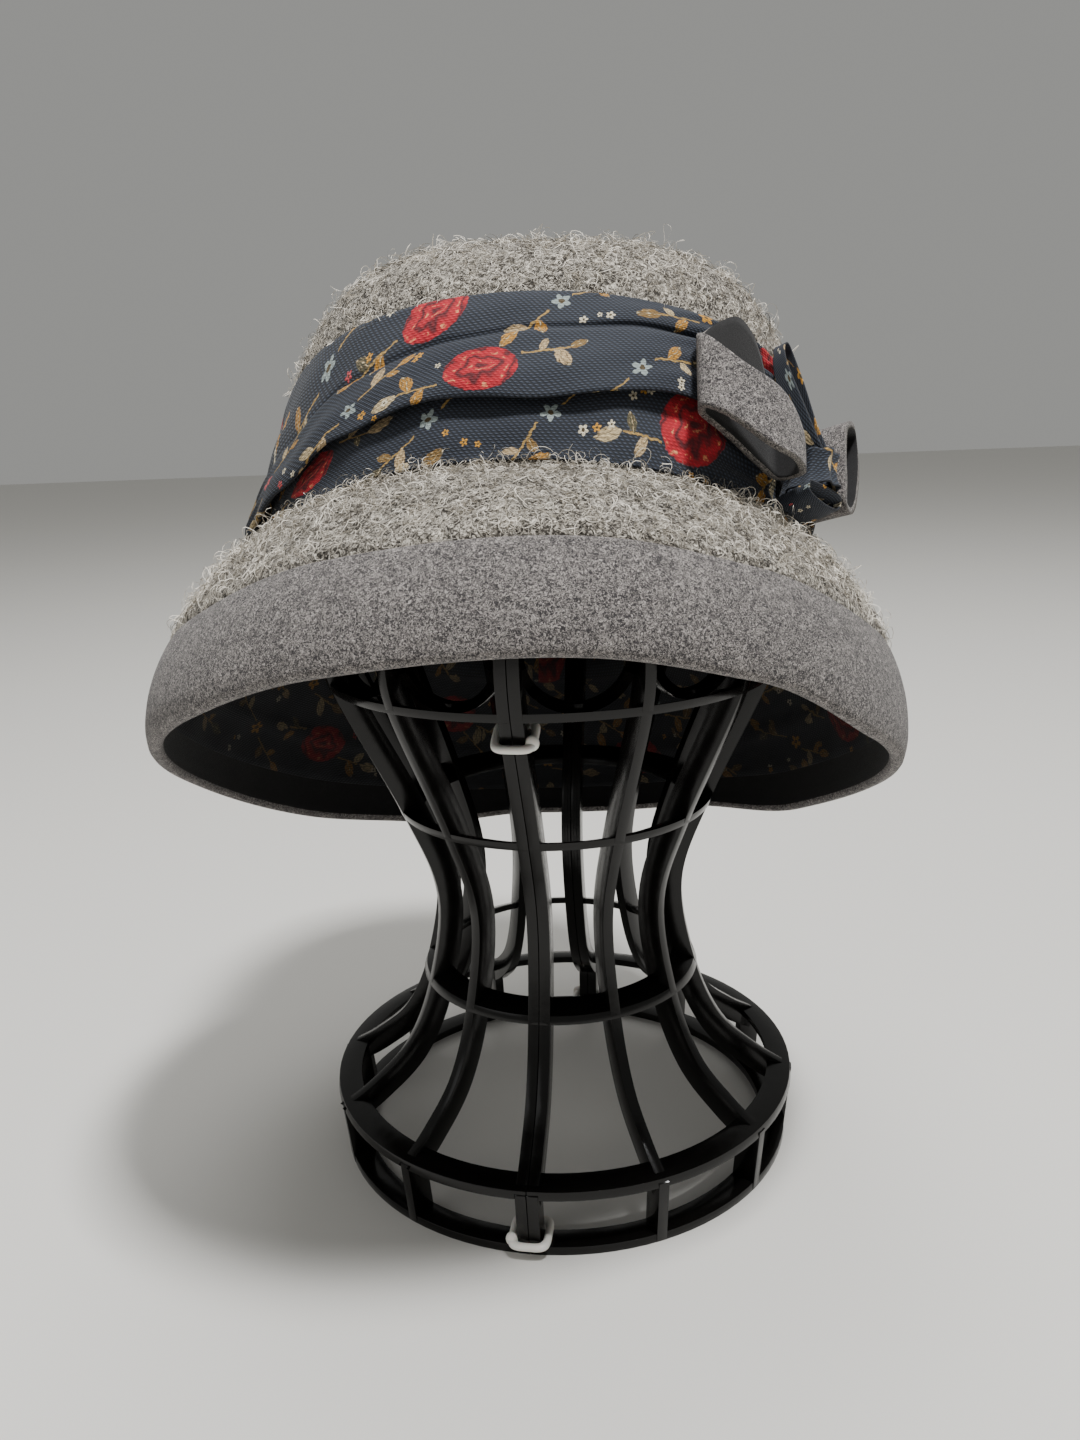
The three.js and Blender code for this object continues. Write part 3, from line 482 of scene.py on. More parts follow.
def add_node(tree, kind, sockets=None, stops=None, **settings):
    """Adds a node with its settings; sockets take values or other nodes' outputs."""
    made = tree.nodes.new(kind)
    for name, value in settings.items():
        setattr(made, name, value)
    if stops:
        ramp = made.color_ramp.elements
        ramp.remove(ramp[1])
        ramp[0].position, ramp[0].color = stops[0]
        for place, tone in stops[1:]:
            ramp.new(place).color = tone
    for name, value in (sockets or {}).items():
        if isinstance(value, bpy.types.NodeSocket):
            tree.links.new(value, made.inputs[name])
        else:
            made.inputs[name].default_value = value
    return made


def new_material(name, shader):
    """Material with one shader; returns it, its tree and the shader."""
    made = bpy.data.materials.new(name)
    made.use_nodes = True
    tree = made.node_tree
    tree.nodes.clear()
    surface = add_node(tree, "ShaderNodeBsdfPrincipled", shader)
    add_node(tree, "ShaderNodeOutputMaterial", {"Surface": surface.outputs["BSDF"]})
    return made, tree, surface


def moulded_black(finishes):
    """Injection-moulded polypropylene: glossy, with a faint ripple that breaks its highlights."""
    made, tree, surface = new_material("moulded_black_polypropylene", {
        "Base Color": finishes.stand, "IOR": 1.49, "Specular IOR Level": 0.28,
    })
    spot = add_node(tree, "ShaderNodeTexCoord").outputs["Object"]
    ripple = add_node(tree, "ShaderNodeTexNoise", {"Vector": spot, "Scale": 160, "Detail": 3})
    gloss = add_node(tree, "ShaderNodeMapRange", {
        "Value": ripple.outputs["Fac"], "To Min": 0.12, "To Max": 0.3,
    })
    bump = add_node(tree, "ShaderNodeBump", {
        "Height": ripple.outputs["Fac"], "Strength": 0.25, "Distance": 0.3 * MM,
    })
    tree.links.new(gloss.outputs["Result"], surface.inputs["Roughness"])
    tree.links.new(bump.outputs["Normal"], surface.inputs["Normal"])
    return made


def moulded_white(finishes):
    """Moulded nylon: satin white, a little waxy."""
    made, tree, surface = new_material("moulded_white_nylon", {
        "Base Color": finishes.ties, "Roughness": 0.4, "IOR": 1.53,
        "Subsurface Weight": 0.1, "Subsurface Scale": 1 * MM,
    })
    spot = add_node(tree, "ShaderNodeTexCoord").outputs["Object"]
    ripple = add_node(tree, "ShaderNodeTexNoise", {"Vector": spot, "Scale": 700, "Detail": 2})
    bump = add_node(tree, "ShaderNodeBump", {
        "Height": ripple.outputs["Fac"], "Strength": 0.2, "Distance": 0.1 * MM,
    })
    tree.links.new(bump.outputs["Normal"], surface.inputs["Normal"])
    return made


def felted(name, dark, light, fibre_mm, strength):
    """Felted wool: short fibres lie every way, so pale flecks stand on a dark ground."""
    made, tree, surface = new_material(name, {"Roughness": 0.95, "Sheen Weight": 0.08})
    spot = add_node(tree, "ShaderNodeTexCoord").outputs["Object"]
    fibres = add_node(tree, "ShaderNodeTexNoise", {
        "Vector": spot, "Scale": 1 / (fibre_mm * MM), "Detail": 5, "Roughness": 0.75,
        "Distortion": 1.6,
    }).outputs["Fac"]
    clumps = add_node(tree, "ShaderNodeTexNoise", {
        "Vector": spot, "Scale": 0.2 / (fibre_mm * MM), "Detail": 2,
    }).outputs["Fac"]
    mixed = add_node(tree, "ShaderNodeMath", {
        0: clumps, 1: 0.08, 2: fibres,
    }, operation="MULTIPLY_ADD").outputs[0]
    tone = add_node(tree, "ShaderNodeMapRange", {
        "Value": mixed, "From Min": 0.5, "From Max": 0.7,
    }).outputs["Result"]
    mix = add_node(tree, "ShaderNodeMix", {"Factor": tone, 6: dark, 7: light}, data_type="RGBA")
    bump = add_node(tree, "ShaderNodeBump", {
        "Height": fibres, "Strength": strength, "Distance": 0.6 * MM,
    })
    tree.links.new(mix.outputs[2], surface.inputs["Base Color"])
    tree.links.new(bump.outputs["Normal"], surface.inputs["Normal"])
    return made


def boiled_wool(finishes):
    """Boiled wool under the loose curls: coarse, its ground darkened all over as painted shade from the
    curls.
    """
    return felted("boiled_wool", finishes.wool_dark, finishes.wool_light, 1.5, 0.9)


def wool_melton(finishes):
    """Melton, fulled and cropped: a flat fine grey fleck."""
    return felted("wool_melton", finishes.melton_dark, finishes.melton_light, 0.7, 0.6)


def painted_shade_felt():
    """The same melton, darkened as painted shade, under the brim and inside the loops."""
    return felted("melton_in_painted_shade", linear("#050405"), linear("#171516"), 0.8, 0.4)


def melton_cut_edge(finishes):
    """Melton cut through: its edge shows paler fibre ends."""
    return felted("melton_cut_edge", finishes.melton_dark, linear("#b8b2aa"), 0.6, 0.6)


def wool_fibre(finishes):
    """Loose wool fibres: pale and slightly glossy, each of its own tone, lighter as painted light where
    it stands high and darker as painted shade where it lies low.
    """
    made, tree, surface = new_material("curly_wool_fibre", {"Roughness": 0.55})
    shade = add_node(tree, "ShaderNodeAttribute", attribute_name="shade")
    mix = add_node(tree, "ShaderNodeMix", {
        "Factor": shade.outputs["Fac"], 6: finishes.wool_dark, 7: finishes.wool_light,
    }, data_type="RGBA")
    tree.links.new(mix.outputs[2], surface.inputs["Base Color"])
    return made


def painted_spot(tree, motif):
    """Place on a motif, in its own millimetres, shaken a little as a brush shakes an outline."""
    spot = add_node(tree, "ShaderNodeUVMap", uv_map=motif).outputs["UV"]
    cloth = add_node(tree, "ShaderNodeUVMap", uv_map="cloth").outputs["UV"]
    brush = add_node(tree, "ShaderNodeTexNoise", {"Vector": cloth, "Scale": 0.6, "Detail": 3})
    shake = add_node(tree, "ShaderNodeVectorMath", {
        0: brush.outputs["Color"], 1: (0.5, 0.5, 0.5),
    }, operation="SUBTRACT").outputs[0]
    return add_node(tree, "ShaderNodeVectorMath", {
        0: shake, 1: (1.7, 1.7, 0), 2: spot,
    }, operation="MULTIPLY_ADD").outputs[0]


def strokes(tree, spot, stretch, low, high):
    """Shares of brush strokes over a motif, from noise that is stretched along them."""
    drawn = add_node(tree, "ShaderNodeMapping", {
        "Vector": spot, "Scale": (stretch[0], stretch[1], 0),
    }, vector_type="TEXTURE").outputs["Vector"]
    noise = add_node(tree, "ShaderNodeTexNoise", {
        "Vector": drawn, "Scale": 1, "Detail": 2,
    }).outputs["Fac"]
    return add_node(tree, "ShaderNodeMapRange", {
        "Value": noise, "From Min": low, "From Max": high,
    }).outputs["Result"]


def rose_motif(tree, rose):
    """A printed rose: crimson petals round its heart, with short peach strokes along their rims.
    Returns its colour and where it lies."""
    spot = painted_spot(tree, "rose")
    # A rose is about 23 mm by 17 mm
    unit = add_node(tree, "ShaderNodeMapping", {
        "Vector": spot, "Scale": (0.088, 0.118, 0),
    }).outputs["Vector"]
    reach = add_node(tree, "ShaderNodeTexGradient", {"Vector": unit}, gradient_type="SPHERICAL")
    where = add_node(tree, "ShaderNodeMapRange", {
        "Value": reach.outputs["Fac"], "From Max": 0.03,
    }).outputs["Result"]
    petals = add_node(tree, "ShaderNodeTexWave", {
        "Vector": unit, "Scale": 0.62, "Distortion": 7.0, "Detail": 1, "Detail Scale": 2.6,
    }, wave_type="RINGS", rings_direction="SPHERICAL").outputs["Fac"]
    tones = add_node(tree, "ShaderNodeValToRGB", {"Fac": petals}, stops=(
        (0.0, linear("#520512")), (0.35, rose), (1.0, linear("#b40c23")),
    )).outputs["Color"]
    rims = add_node(tree, "ShaderNodeMapRange", {
        "Value": petals, "From Min": 0.8, "From Max": 0.92,
    }).outputs["Result"]
    dabs = strokes(tree, spot, (3.0, 1.7), 0.54, 0.62)
    peach = add_node(tree, "ShaderNodeMath", {0: rims, 1: dabs}, operation="MULTIPLY").outputs[0]
    shown = add_node(tree, "ShaderNodeMix", {
        "Factor": peach, 6: tones, 7: linear("#d98a5e"),
    }, data_type="RGBA")
    return shown.outputs[2], where


def leaf_motif(tree):
    """A printed leaf, pointed at both ends, brushed along its length. Returns colour and place."""
    half_length, half_width = 4.6, 2.3
    bow = (half_length ** 2 + half_width ** 2) / (2 * half_width)
    spot = painted_spot(tree, "leaf")
    folded = add_node(tree, "ShaderNodeVectorMath", {0: spot}, operation="ABSOLUTE").outputs[0]
    sunk = add_node(tree, "ShaderNodeVectorMath", {
        0: folded, 1: (0, bow - half_width, 0),
    }, operation="ADD").outputs[0]
    reach = add_node(tree, "ShaderNodeVectorMath", {0: sunk}, operation="LENGTH").outputs["Value"]
    where = add_node(tree, "ShaderNodeMapRange", {
        "Value": reach, "From Min": bow, "From Max": bow - 0.35,
    }).outputs["Result"]
    tint = add_node(tree, "ShaderNodeSeparateXYZ", {
        0: add_node(tree, "ShaderNodeUVMap", uv_map="tint").outputs["UV"],
    }).outputs["X"]
    tones = add_node(tree, "ShaderNodeValToRGB", {"Fac": tint}, stops=(
        (0.0, linear("#b9822a")), (0.3, linear("#c9b48b")), (0.55, linear("#86652f")),
        (0.68, linear("#4a4731")), (0.84, linear("#c3a87f")), (1.0, linear("#a96f27")),
    ))
    tones.color_ramp.interpolation = "CONSTANT"
    shaded = add_node(tree, "ShaderNodeMix", {
        "Factor": strokes(tree, spot, (2.6, 0.8), 0.42, 0.62),
        6: tones.outputs["Color"], 7: linear("#4e3d1f"),
    }, data_type="RGBA").outputs[2]
    lit = add_node(tree, "ShaderNodeMix", {
        "Factor": strokes(tree, spot, (3.0, 0.6), 0.53, 0.68), 6: shaded, 7: linear("#dcc9a0"),
    }, data_type="RGBA").outputs[2]
    return lit, where


def blossom_motif(tree):
    """A small printed flower of five petals round a yellow heart. Returns colour and place."""
    spot = painted_spot(tree, "blossom")
    apart = add_node(tree, "ShaderNodeSeparateXYZ", {0: spot})
    angle = add_node(tree, "ShaderNodeMath", {
        0: apart.outputs["Y"], 1: apart.outputs["X"],
    }, operation="ARCTAN2").outputs[0]
    swing = add_node(tree, "ShaderNodeMath", {0: angle, 1: 2.5}, operation="MULTIPLY").outputs[0]
    lobes = add_node(tree, "ShaderNodeMath", {
        0: add_node(tree, "ShaderNodeMath", {0: swing}, operation="COSINE").outputs[0],
    }, operation="ABSOLUTE").outputs[0]
    edge = add_node(tree, "ShaderNodeMath", {
        0: lobes, 1: 2.1, 2: 1.5,
    }, operation="MULTIPLY_ADD").outputs[0]
    reach = add_node(tree, "ShaderNodeVectorMath", {0: spot}, operation="LENGTH").outputs["Value"]
    inside = add_node(tree, "ShaderNodeMath", {0: edge, 1: reach}, operation="SUBTRACT").outputs[0]
    where = add_node(tree, "ShaderNodeMapRange", {"Value": inside, "From Max": 0.3}).outputs["Result"]
    tint = add_node(tree, "ShaderNodeSeparateXYZ", {
        0: add_node(tree, "ShaderNodeUVMap", uv_map="tint").outputs["UV"],
    }).outputs["Y"]
    petal = add_node(tree, "ShaderNodeValToRGB", {"Fac": tint}, stops=(
        (0.0, linear("#8f9a98")), (0.4, linear("#c78f31")), (0.65, linear("#d7cdb4")),
        (0.85, linear("#c2454a")), (1.0, linear("#c2454a")),
    ))
    petal.color_ramp.interpolation = "CONSTANT"
    heart = add_node(tree, "ShaderNodeMath", {0: reach, 1: 1.0}, operation="LESS_THAN").outputs[0]
    mix = add_node(tree, "ShaderNodeMix", {
        "Factor": heart, 6: petal.outputs["Color"], 7: linear("#4a3d22"),
    }, data_type="RGBA")
    return mix.outputs[2], where


def stem_motif(tree):
    """The thin bent stem of a sprig. Returns its colour and where it lies."""
    spot = painted_spot(tree, "stem")
    apart = add_node(tree, "ShaderNodeSeparateXYZ", {0: spot})
    off = add_node(tree, "ShaderNodeMath", {0: apart.outputs["Y"]}, operation="ABSOLUTE").outputs[0]
    inside = add_node(tree, "ShaderNodeMapRange", {
        "Value": off, "From Min": 0.4, "From Max": 0.2,
    }).outputs["Result"]
    return linear("#a5854a"), inside


def printed_cotton(finishes, name="printed_cotton_poplin", depth=1.0):
    """Plain-woven cotton, screen-printed with roses and sprigs: its threads show as fine ribs, drawn
    0.8 mm apart, which is coarser than real ones, so that they show. The pale points of the weave are
    painted highlight, and depth darkens all its colours as painted shade."""
    made, tree, surface = new_material(name, {"Roughness": 0.85, "Sheen Weight": 0.06})
    cloth = add_node(tree, "ShaderNodeUVMap", uv_map="cloth").outputs["UV"]
    # At scale 1 a wave's period is 2 pi / 20
    threads = 2 * math.pi / 20 / 0.8
    warp = add_node(tree, "ShaderNodeTexWave", {
        "Vector": cloth, "Scale": threads, "Distortion": 0.6, "Detail": 1,
    }, bands_direction="DIAGONAL").outputs["Fac"]
    weft = add_node(tree, "ShaderNodeTexWave", {
        "Vector": cloth, "Scale": threads, "Distortion": 0.6, "Detail": 1,
    }, bands_direction="Y").outputs["Fac"]
    weave = add_node(tree, "ShaderNodeMath", {0: warp, 1: weft}, operation="MULTIPLY").outputs[0]
    # Painted highlight: the weft threads that lie on top are drawn paler, as if they catch the light
    shown = add_node(tree, "ShaderNodeMix", {
        "Factor": weave, 6: finishes.cotton, 7: linear("#37404f"),
    }, data_type="RGBA").outputs[2]
    for tone, where in (stem_motif(tree), leaf_motif(tree), blossom_motif(tree),
                        rose_motif(tree, finishes.rose)):
        shown = add_node(tree, "ShaderNodeMix", {"Factor": where, 6: shown, 7: tone},
                         data_type="RGBA").outputs[2]
    # Painted highlight and shade of the weave: threads on top are brightened and those below darkened,
    # all scaled by depth
    light = add_node(tree, "ShaderNodeMapRange", {
        "Value": weave, "To Min": 0.78 * depth, "To Max": 1.15 * depth,
    }).outputs["Result"]
    lit = add_node(tree, "ShaderNodeVectorMath", {
        0: shown, "Scale": light,
    }, operation="SCALE").outputs[0]
    bump = add_node(tree, "ShaderNodeBump", {
        "Height": weave, "Strength": 0.6, "Distance": 0.3 * MM,
    })
    tree.links.new(lit, surface.inputs["Base Color"])
    tree.links.new(bump.outputs["Normal"], surface.inputs["Normal"])
    return made


def plain_floor(finishes):
    """Matt laminate board: pale, with a faint unevenness."""
    made, tree, surface = new_material("matt_laminate", {
        "Base Color": finishes.floor, "Roughness": 0.6,
    })
    spot = add_node(tree, "ShaderNodeTexCoord").outputs["Object"]
    grain = add_node(tree, "ShaderNodeTexNoise", {"Vector": spot, "Scale": 12, "Detail": 3})
    bump = add_node(tree, "ShaderNodeBump", {
        "Height": grain.outputs["Fac"], "Strength": 0.05, "Distance": 1 * MM,
    })
    tree.links.new(bump.outputs["Normal"], surface.inputs["Normal"])
    return made


def finished(name, makes, *given):
    """A material by name, made on its first use."""
    return bpy.data.materials.get(name) or makes(*given)


def add_piece(context, name, bm, materials, replaces=(), wall=0.0, centred=False):
    """Turns a bmesh into a smooth piece that rides on the part, with an optional wall. The first
    material is the outside's, the next the inside's and the last the cut edge's."""
    mesh = bpy.data.meshes.new(name)
    bm.to_mesh(mesh)
    bm.free()
    mesh.shade_smooth()
    for material in materials:
        mesh.materials.append(material)
    piece = bpy.data.objects.new(name, mesh)
    context.scene.collection.objects.link(piece)
    if wall:
        shell = piece.modifiers.new("Wall", "SOLIDIFY")
        shell.thickness = wall
        shell.offset = 0 if centred else -1
        shell.use_even_offset = True
        shell.material_offset = min(1, len(materials) - 1)
        shell.material_offset_rim = len(materials) - 1
    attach(piece, "root")
    if replaces:
        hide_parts(*replaces)
    return piece


def bent_grid(across, along, place, flat, closes=False):
    """Grid whose shares of its width and height are placed by a function; the cloth UV map holds
    the flat cloth in millimetres."""
    bm = bmesh.new()
    cloth = bm.loops.layers.uv.new("cloth")
    bmesh.ops.create_grid(bm, x_segments=across, y_segments=along, size=0.5)
    for face in bm.faces:
        for loop in face.loops:
            loop[cloth].uv = (
                (loop.vert.co.x + 0.5) * flat[0] / MM, (loop.vert.co.y + 0.5) * flat[1] / MM,
            )
    shares = np.array([vert.co[:2] for vert in bm.verts]) + 0.5
    for vert, point in zip(bm.verts, place(shares[:, 0], shares[:, 1])):
        vert.co = point
    if closes:
        bmesh.ops.remove_doubles(bm, verts=bm.verts, dist=SAME_POINT)
    return bm


def face_outwards(bm):
    """Turns the faces of a loop that is open at both ends away from its middle."""
    bmesh.ops.recalc_face_normals(bm, faces=bm.faces)
    middle = sum((vert.co for vert in bm.verts), Vector()) / len(bm.verts)
    if sum((face.calc_center_median() - middle).dot(face.normal) for face in bm.faces) < 0:
        bmesh.ops.reverse_faces(bm, faces=bm.faces)


def print_layout(width, height, seed):
    """Motifs of the print on a flat cloth in millimetres: kind, x, y, angle, size and tint. Roses
    and sprays take turns on a half-drop repeat, and sprigs fill the room between them."""
    rng = np.random.default_rng(seed)
    column, row = PRINT_REPEAT
    motifs = []

    def add_sprig(x, y, heading, reach):
        motifs.append(("stem", x + math.cos(heading) * reach / 2,
                       y + math.sin(heading) * reach / 2, heading, reach, 0.0))
        for along, lean, size in zip(*SPRIG_LEAVES.values()):
            turned = heading + math.radians(lean + rng.uniform(-15, 15))
            grown = size * rng.uniform(0.55, 1.0)
            motifs.append((
                "leaf",
                x + math.cos(heading) * reach * along + math.cos(turned) * 4.4 * grown,
                y + math.sin(heading) * reach * along + math.sin(turned) * 4.4 * grown,
                turned, grown, rng.random(),
            ))

    def add_berries(x, y, count):
        for _ in range(count):
            motifs.append(("blossom", x + rng.normal(0, 3.6), y + rng.normal(0, 2.6),
                           rng.uniform(0, 6), rng.uniform(0.28, 0.45), rng.uniform(0.4, 0.9)))

    for i in range(-1, int(width / column) + 2):
        for j in range(int(height / row) + 3):
            x = (i + 0.5 * (j % 2)) * column + rng.uniform(-4, 4)
            y = (j - 0.5) * row + rng.uniform(-3, 3)
            if (i + j) % 3 == 0:
                motifs.append(("rose", x, y, rng.uniform(-0.5, 0.5), rng.uniform(0.9, 1.1), 0.0))
                add_sprig(x + 12, y + 5, rng.uniform(-0.2, 0.8), rng.uniform(9, 13))
                add_sprig(x - 12, y - 5, rng.uniform(2.9, 3.9), rng.uniform(8, 12))
                add_berries(x - 16, y + 7, 3)
            else:
                motifs.append(("blossom", x, y + 1, rng.uniform(0, 6), 0.85, rng.random()))
                add_sprig(x - 4, y - 3, rng.uniform(3.2, 4.2), rng.uniform(9, 13))
                add_sprig(x + 4, y + 4, rng.uniform(0.1, 0.9), rng.uniform(10, 14))
                add_berries(x + 13, y - 6, 3)
    return motifs


def print_on(piece, seed):
    """Gives each face its place on the nearest motif of every kind, as UV maps in millimetres."""
    mesh = piece.data
    cloth = np.zeros(len(mesh.loops) * 2)
    mesh.uv_layers["cloth"].data.foreach_get("uv", cloth)
    cloth = cloth.reshape(-1, 2)
    counts = np.array([face.loop_total for face in mesh.polygons])
    owner = np.repeat(np.arange(len(counts)), counts)
    middles = np.stack([np.bincount(owner, cloth[:, k]) / counts for k in (0, 1)], axis=1)
    low, high = cloth.min(axis=0), cloth.max(axis=0)
    layout = print_layout(*(high - low), seed)
    tints = np.zeros((len(counts), 2))
    for kind, room in MOTIF_REACH.items():
        found = np.array([motif[1:] for motif in layout if motif[0] == kind])
        away = middles[:, None, :] - low - found[None, :, :2]
        angle, size = found[:, 2], found[:, 3]
        x = away[..., 0] * np.cos(angle) + away[..., 1] * np.sin(angle)
        y = away[..., 1] * np.cos(angle) - away[..., 0] * np.sin(angle)
        if kind == "stem":
            near = np.maximum(np.abs(x) / (size / 2 + 0.8), np.abs(y) / 2.5)
            size = np.ones_like(size)
        else:
            near = np.hypot(x, y) / size
        pick = near.argmin(axis=1)
        hit = near[np.arange(len(pick)), pick] < room
        chosen = found[pick][owner]
        away = cloth - low - chosen[:, :2]
        scale = size[pick][owner]
        local = np.stack([
            (away[:, 0] * np.cos(chosen[:, 2]) + away[:, 1] * np.sin(chosen[:, 2])) / scale,
            (away[:, 1] * np.cos(chosen[:, 2]) - away[:, 0] * np.sin(chosen[:, 2])) / scale,
        ], axis=1)
        local[~hit[owner]] = OFF_THE_PRINT
        layer = mesh.uv_layers.new(name=kind, do_init=False)
        layer.data.foreach_set("uv", local.astype(np.float32).ravel())
        if kind in ("leaf", "blossom"):
            tints[:, 0 if kind == "leaf" else 1] = found[pick, 4]
    layer = mesh.uv_layers.new(name="tint", do_init=False)
    layer.data.foreach_set("uv", tints[owner].astype(np.float32).ravel())


def stand_outline(sizes):
    """Outer edge of a rib as radii and heights from the floor to the hub."""
    flare = sizes.base_radius - sizes.waist_radius
    rise = sizes.waist_height - sizes.base_height
    points = np.array([
        (sizes.base_radius, sizes.base_height),
        *(
            (sizes.waist_radius + out * flare, sizes.base_height + up * rise)
            for out, up in STAND_FLARE
        ),
        (sizes.waist_radius, sizes.waist_height),
        (sizes.slim_radius, (sizes.waist_height + sizes.neck_height) / 2),
        (sizes.neck_radius, sizes.neck_height),
        (sizes.head_radius, sizes.head_height),
        (sizes.dome_radius, sizes.dome_start),
    ])
    at = np.linspace(0, len(points) - 1, OUTLINE_ROWS)
    radii, heights = smooth_curve(points[:, 0], at), smooth_curve(points[:, 1], at)
    lift = np.linspace(0, math.acos(sizes.hub_radius / sizes.dome_radius), DOME_ROWS + 1)[1:]
    return (
        np.concatenate([[sizes.floor_radius], radii, sizes.dome_radius * np.cos(lift)]),
        np.concatenate([[0], heights, sizes.dome_start + sizes.dome_rise * np.sin(lift)]),
    )


def around(turn, radius, side, height, centre):
    """Point at a turn, radius and height round the stand, moved sideways off the turn's plane."""
    angle = math.radians(turn)
    return centre + Vector((
        radius * math.sin(angle) + side * math.cos(angle),
        -radius * math.cos(angle) + side * math.sin(angle),
        height,
    ))


def add_rib(bm, sizes, turn, side, centre):
    """One rib: a strip along the outline, given its thickness."""
    radii, heights = stand_outline(sizes)
    along_r, along_h = np.gradient(radii), np.gradient(heights)
    slope = np.hypot(along_r, along_h)
    inward = np.stack([-along_h / slope, along_r / slope])
    inward[:, 0] = (-1, 0)
    inward[:, -1] = (0, -1)
    strip = bmesh.ops.create_grid(bm, x_segments=len(radii) - 1, y_segments=1, size=0.5)
    for vert in strip["verts"]:
        i = round((vert.co.x + 0.5) * (len(radii) - 1))
        depth = (0.5 - vert.co.y) * sizes.bar_depth
        vert.co = around(
            turn, radii[i] + depth * inward[0, i], side,
            max(heights[i] + depth * inward[1, i], 0), centre,
        )
    faces = list({face for vert in strip["verts"] for face in vert.link_faces})
    made = bmesh.ops.extrude_face_region(bm, geom=faces)["geom"]
    across = around(turn, 0, sizes.rib_thickness, 0, Vector())
    bmesh.ops.translate(
        bm, vec=across, verts=[part for part in made if isinstance(part, bmesh.types.BMVert)],
    )


def add_half_ring(bm, sizes, radius, height, tilt, start, centre, depth=None, thickness=None):
    """Half of a strap ring: its section, turned half way round the stand."""
    depth = depth or sizes.bar_depth
    half = (thickness or sizes.ring_thickness) / 2
    split = math.degrees(sizes.split_gap / 2 / radius)
    lean = math.radians(tilt)
    corners = [
        around(
            start + split,
            radius - into * math.cos(lean) - lift * math.sin(lean), 0,
            height + into * math.sin(lean) + lift * math.cos(lean), centre,
        )
        for into, lift in ((0, -half), (depth, -half), (depth, half), (0, half))
    ]
    face = bm.faces.new([bm.verts.new(corner) for corner in corners])
    bmesh.ops.spin(
        bm, geom=[face], cent=centre, axis=(0, 0, 1), dvec=(0, 0, 0),
        angle=math.radians(180 - 2 * split), steps=48, use_duplicate=False,
    )


def add_window(bm, sizes, turn, centre):
    """The rim of a round window over the head ring, between two ribs."""
    rim, depth, radius, set_in = 3 * MM, 4 * MM, 15.5 * MM, 3.5 * MM
    reach = sizes.head_radius - set_in
    middle = around(turn, reach, 0, sizes.head_height + radius + rim, centre)
    outward = around(turn, 1, 0, 0, Vector())
    corners = [
        middle + Vector((0, 0, -radius - over)) + outward * into
        for over, into in ((0, 0), (rim, 0), (rim, -depth), (0, -depth))
    ]
    face = bm.faces.new([bm.verts.new(corner) for corner in corners])
    bmesh.ops.spin(
        bm, geom=[face], cent=middle, axis=outward, dvec=(0, 0, 0), angle=2 * math.pi,
        steps=36, use_merge=True, use_duplicate=False,
    )


def stand_half(sizes, start, centre):
    """One moulded half of the stand: ribs, half rings, window rims and half of the hub."""
    bm = bmesh.new()
    bay = 180 / sizes.bays
    for i in range(sizes.bays + 1):
        side = -sizes.rib_thickness / 2
        if i == 0:
            side = sizes.split_gap / 2
        if i == sizes.bays:
            side = -sizes.rib_thickness - sizes.split_gap / 2
        add_rib(bm, sizes, start + i * bay, side, centre)
    # Each strap ring leans with the ribs that it crosses, by a tilt in degrees, and the base ring sits
    # inside the corner that they turn there
    for radius, height, tilt in (
        (sizes.floor_radius, sizes.ring_thickness / 2, 0),
        (sizes.base_radius - 0.4 * MM, sizes.base_height, 7),
        (sizes.waist_radius, sizes.waist_height, 20),
        (sizes.neck_radius, sizes.neck_height, -18),
        (sizes.head_radius, sizes.head_height, -15),
    ):
        add_half_ring(bm, sizes, radius, height, tilt, start, centre)
    lift = math.acos(sizes.hub_radius / sizes.dome_radius)
    top = sizes.dome_start + sizes.dome_rise * math.sin(lift)
    add_half_ring(
        bm, sizes, sizes.hub_radius, top - sizes.bar_depth / 2, 0, start, centre,
        depth=3 * MM, thickness=sizes.bar_depth,
    )
    for i in range(sizes.bays):
        add_window(bm, sizes, start + (i + 0.5) * bay, centre)
    bmesh.ops.remove_doubles(bm, verts=bm.verts, dist=SAME_POINT)
    bmesh.ops.recalc_face_normals(bm, faces=bm.faces)
    sharp = [edge for edge in bm.edges if edge.calc_face_angle(0) > math.radians(40)]
    bmesh.ops.bevel(
        bm, geom=sharp, offset=0.6 * MM, offset_type="OFFSET", segments=2, profile=0.5,
        affect="EDGES", material=-1, clamp_overlap=True,
    )
    # Where ribs and rings run into each other, a bevel may slip under the floor
    for vert in bm.verts:
        vert.co.z = max(vert.co.z, 0)
    return bm


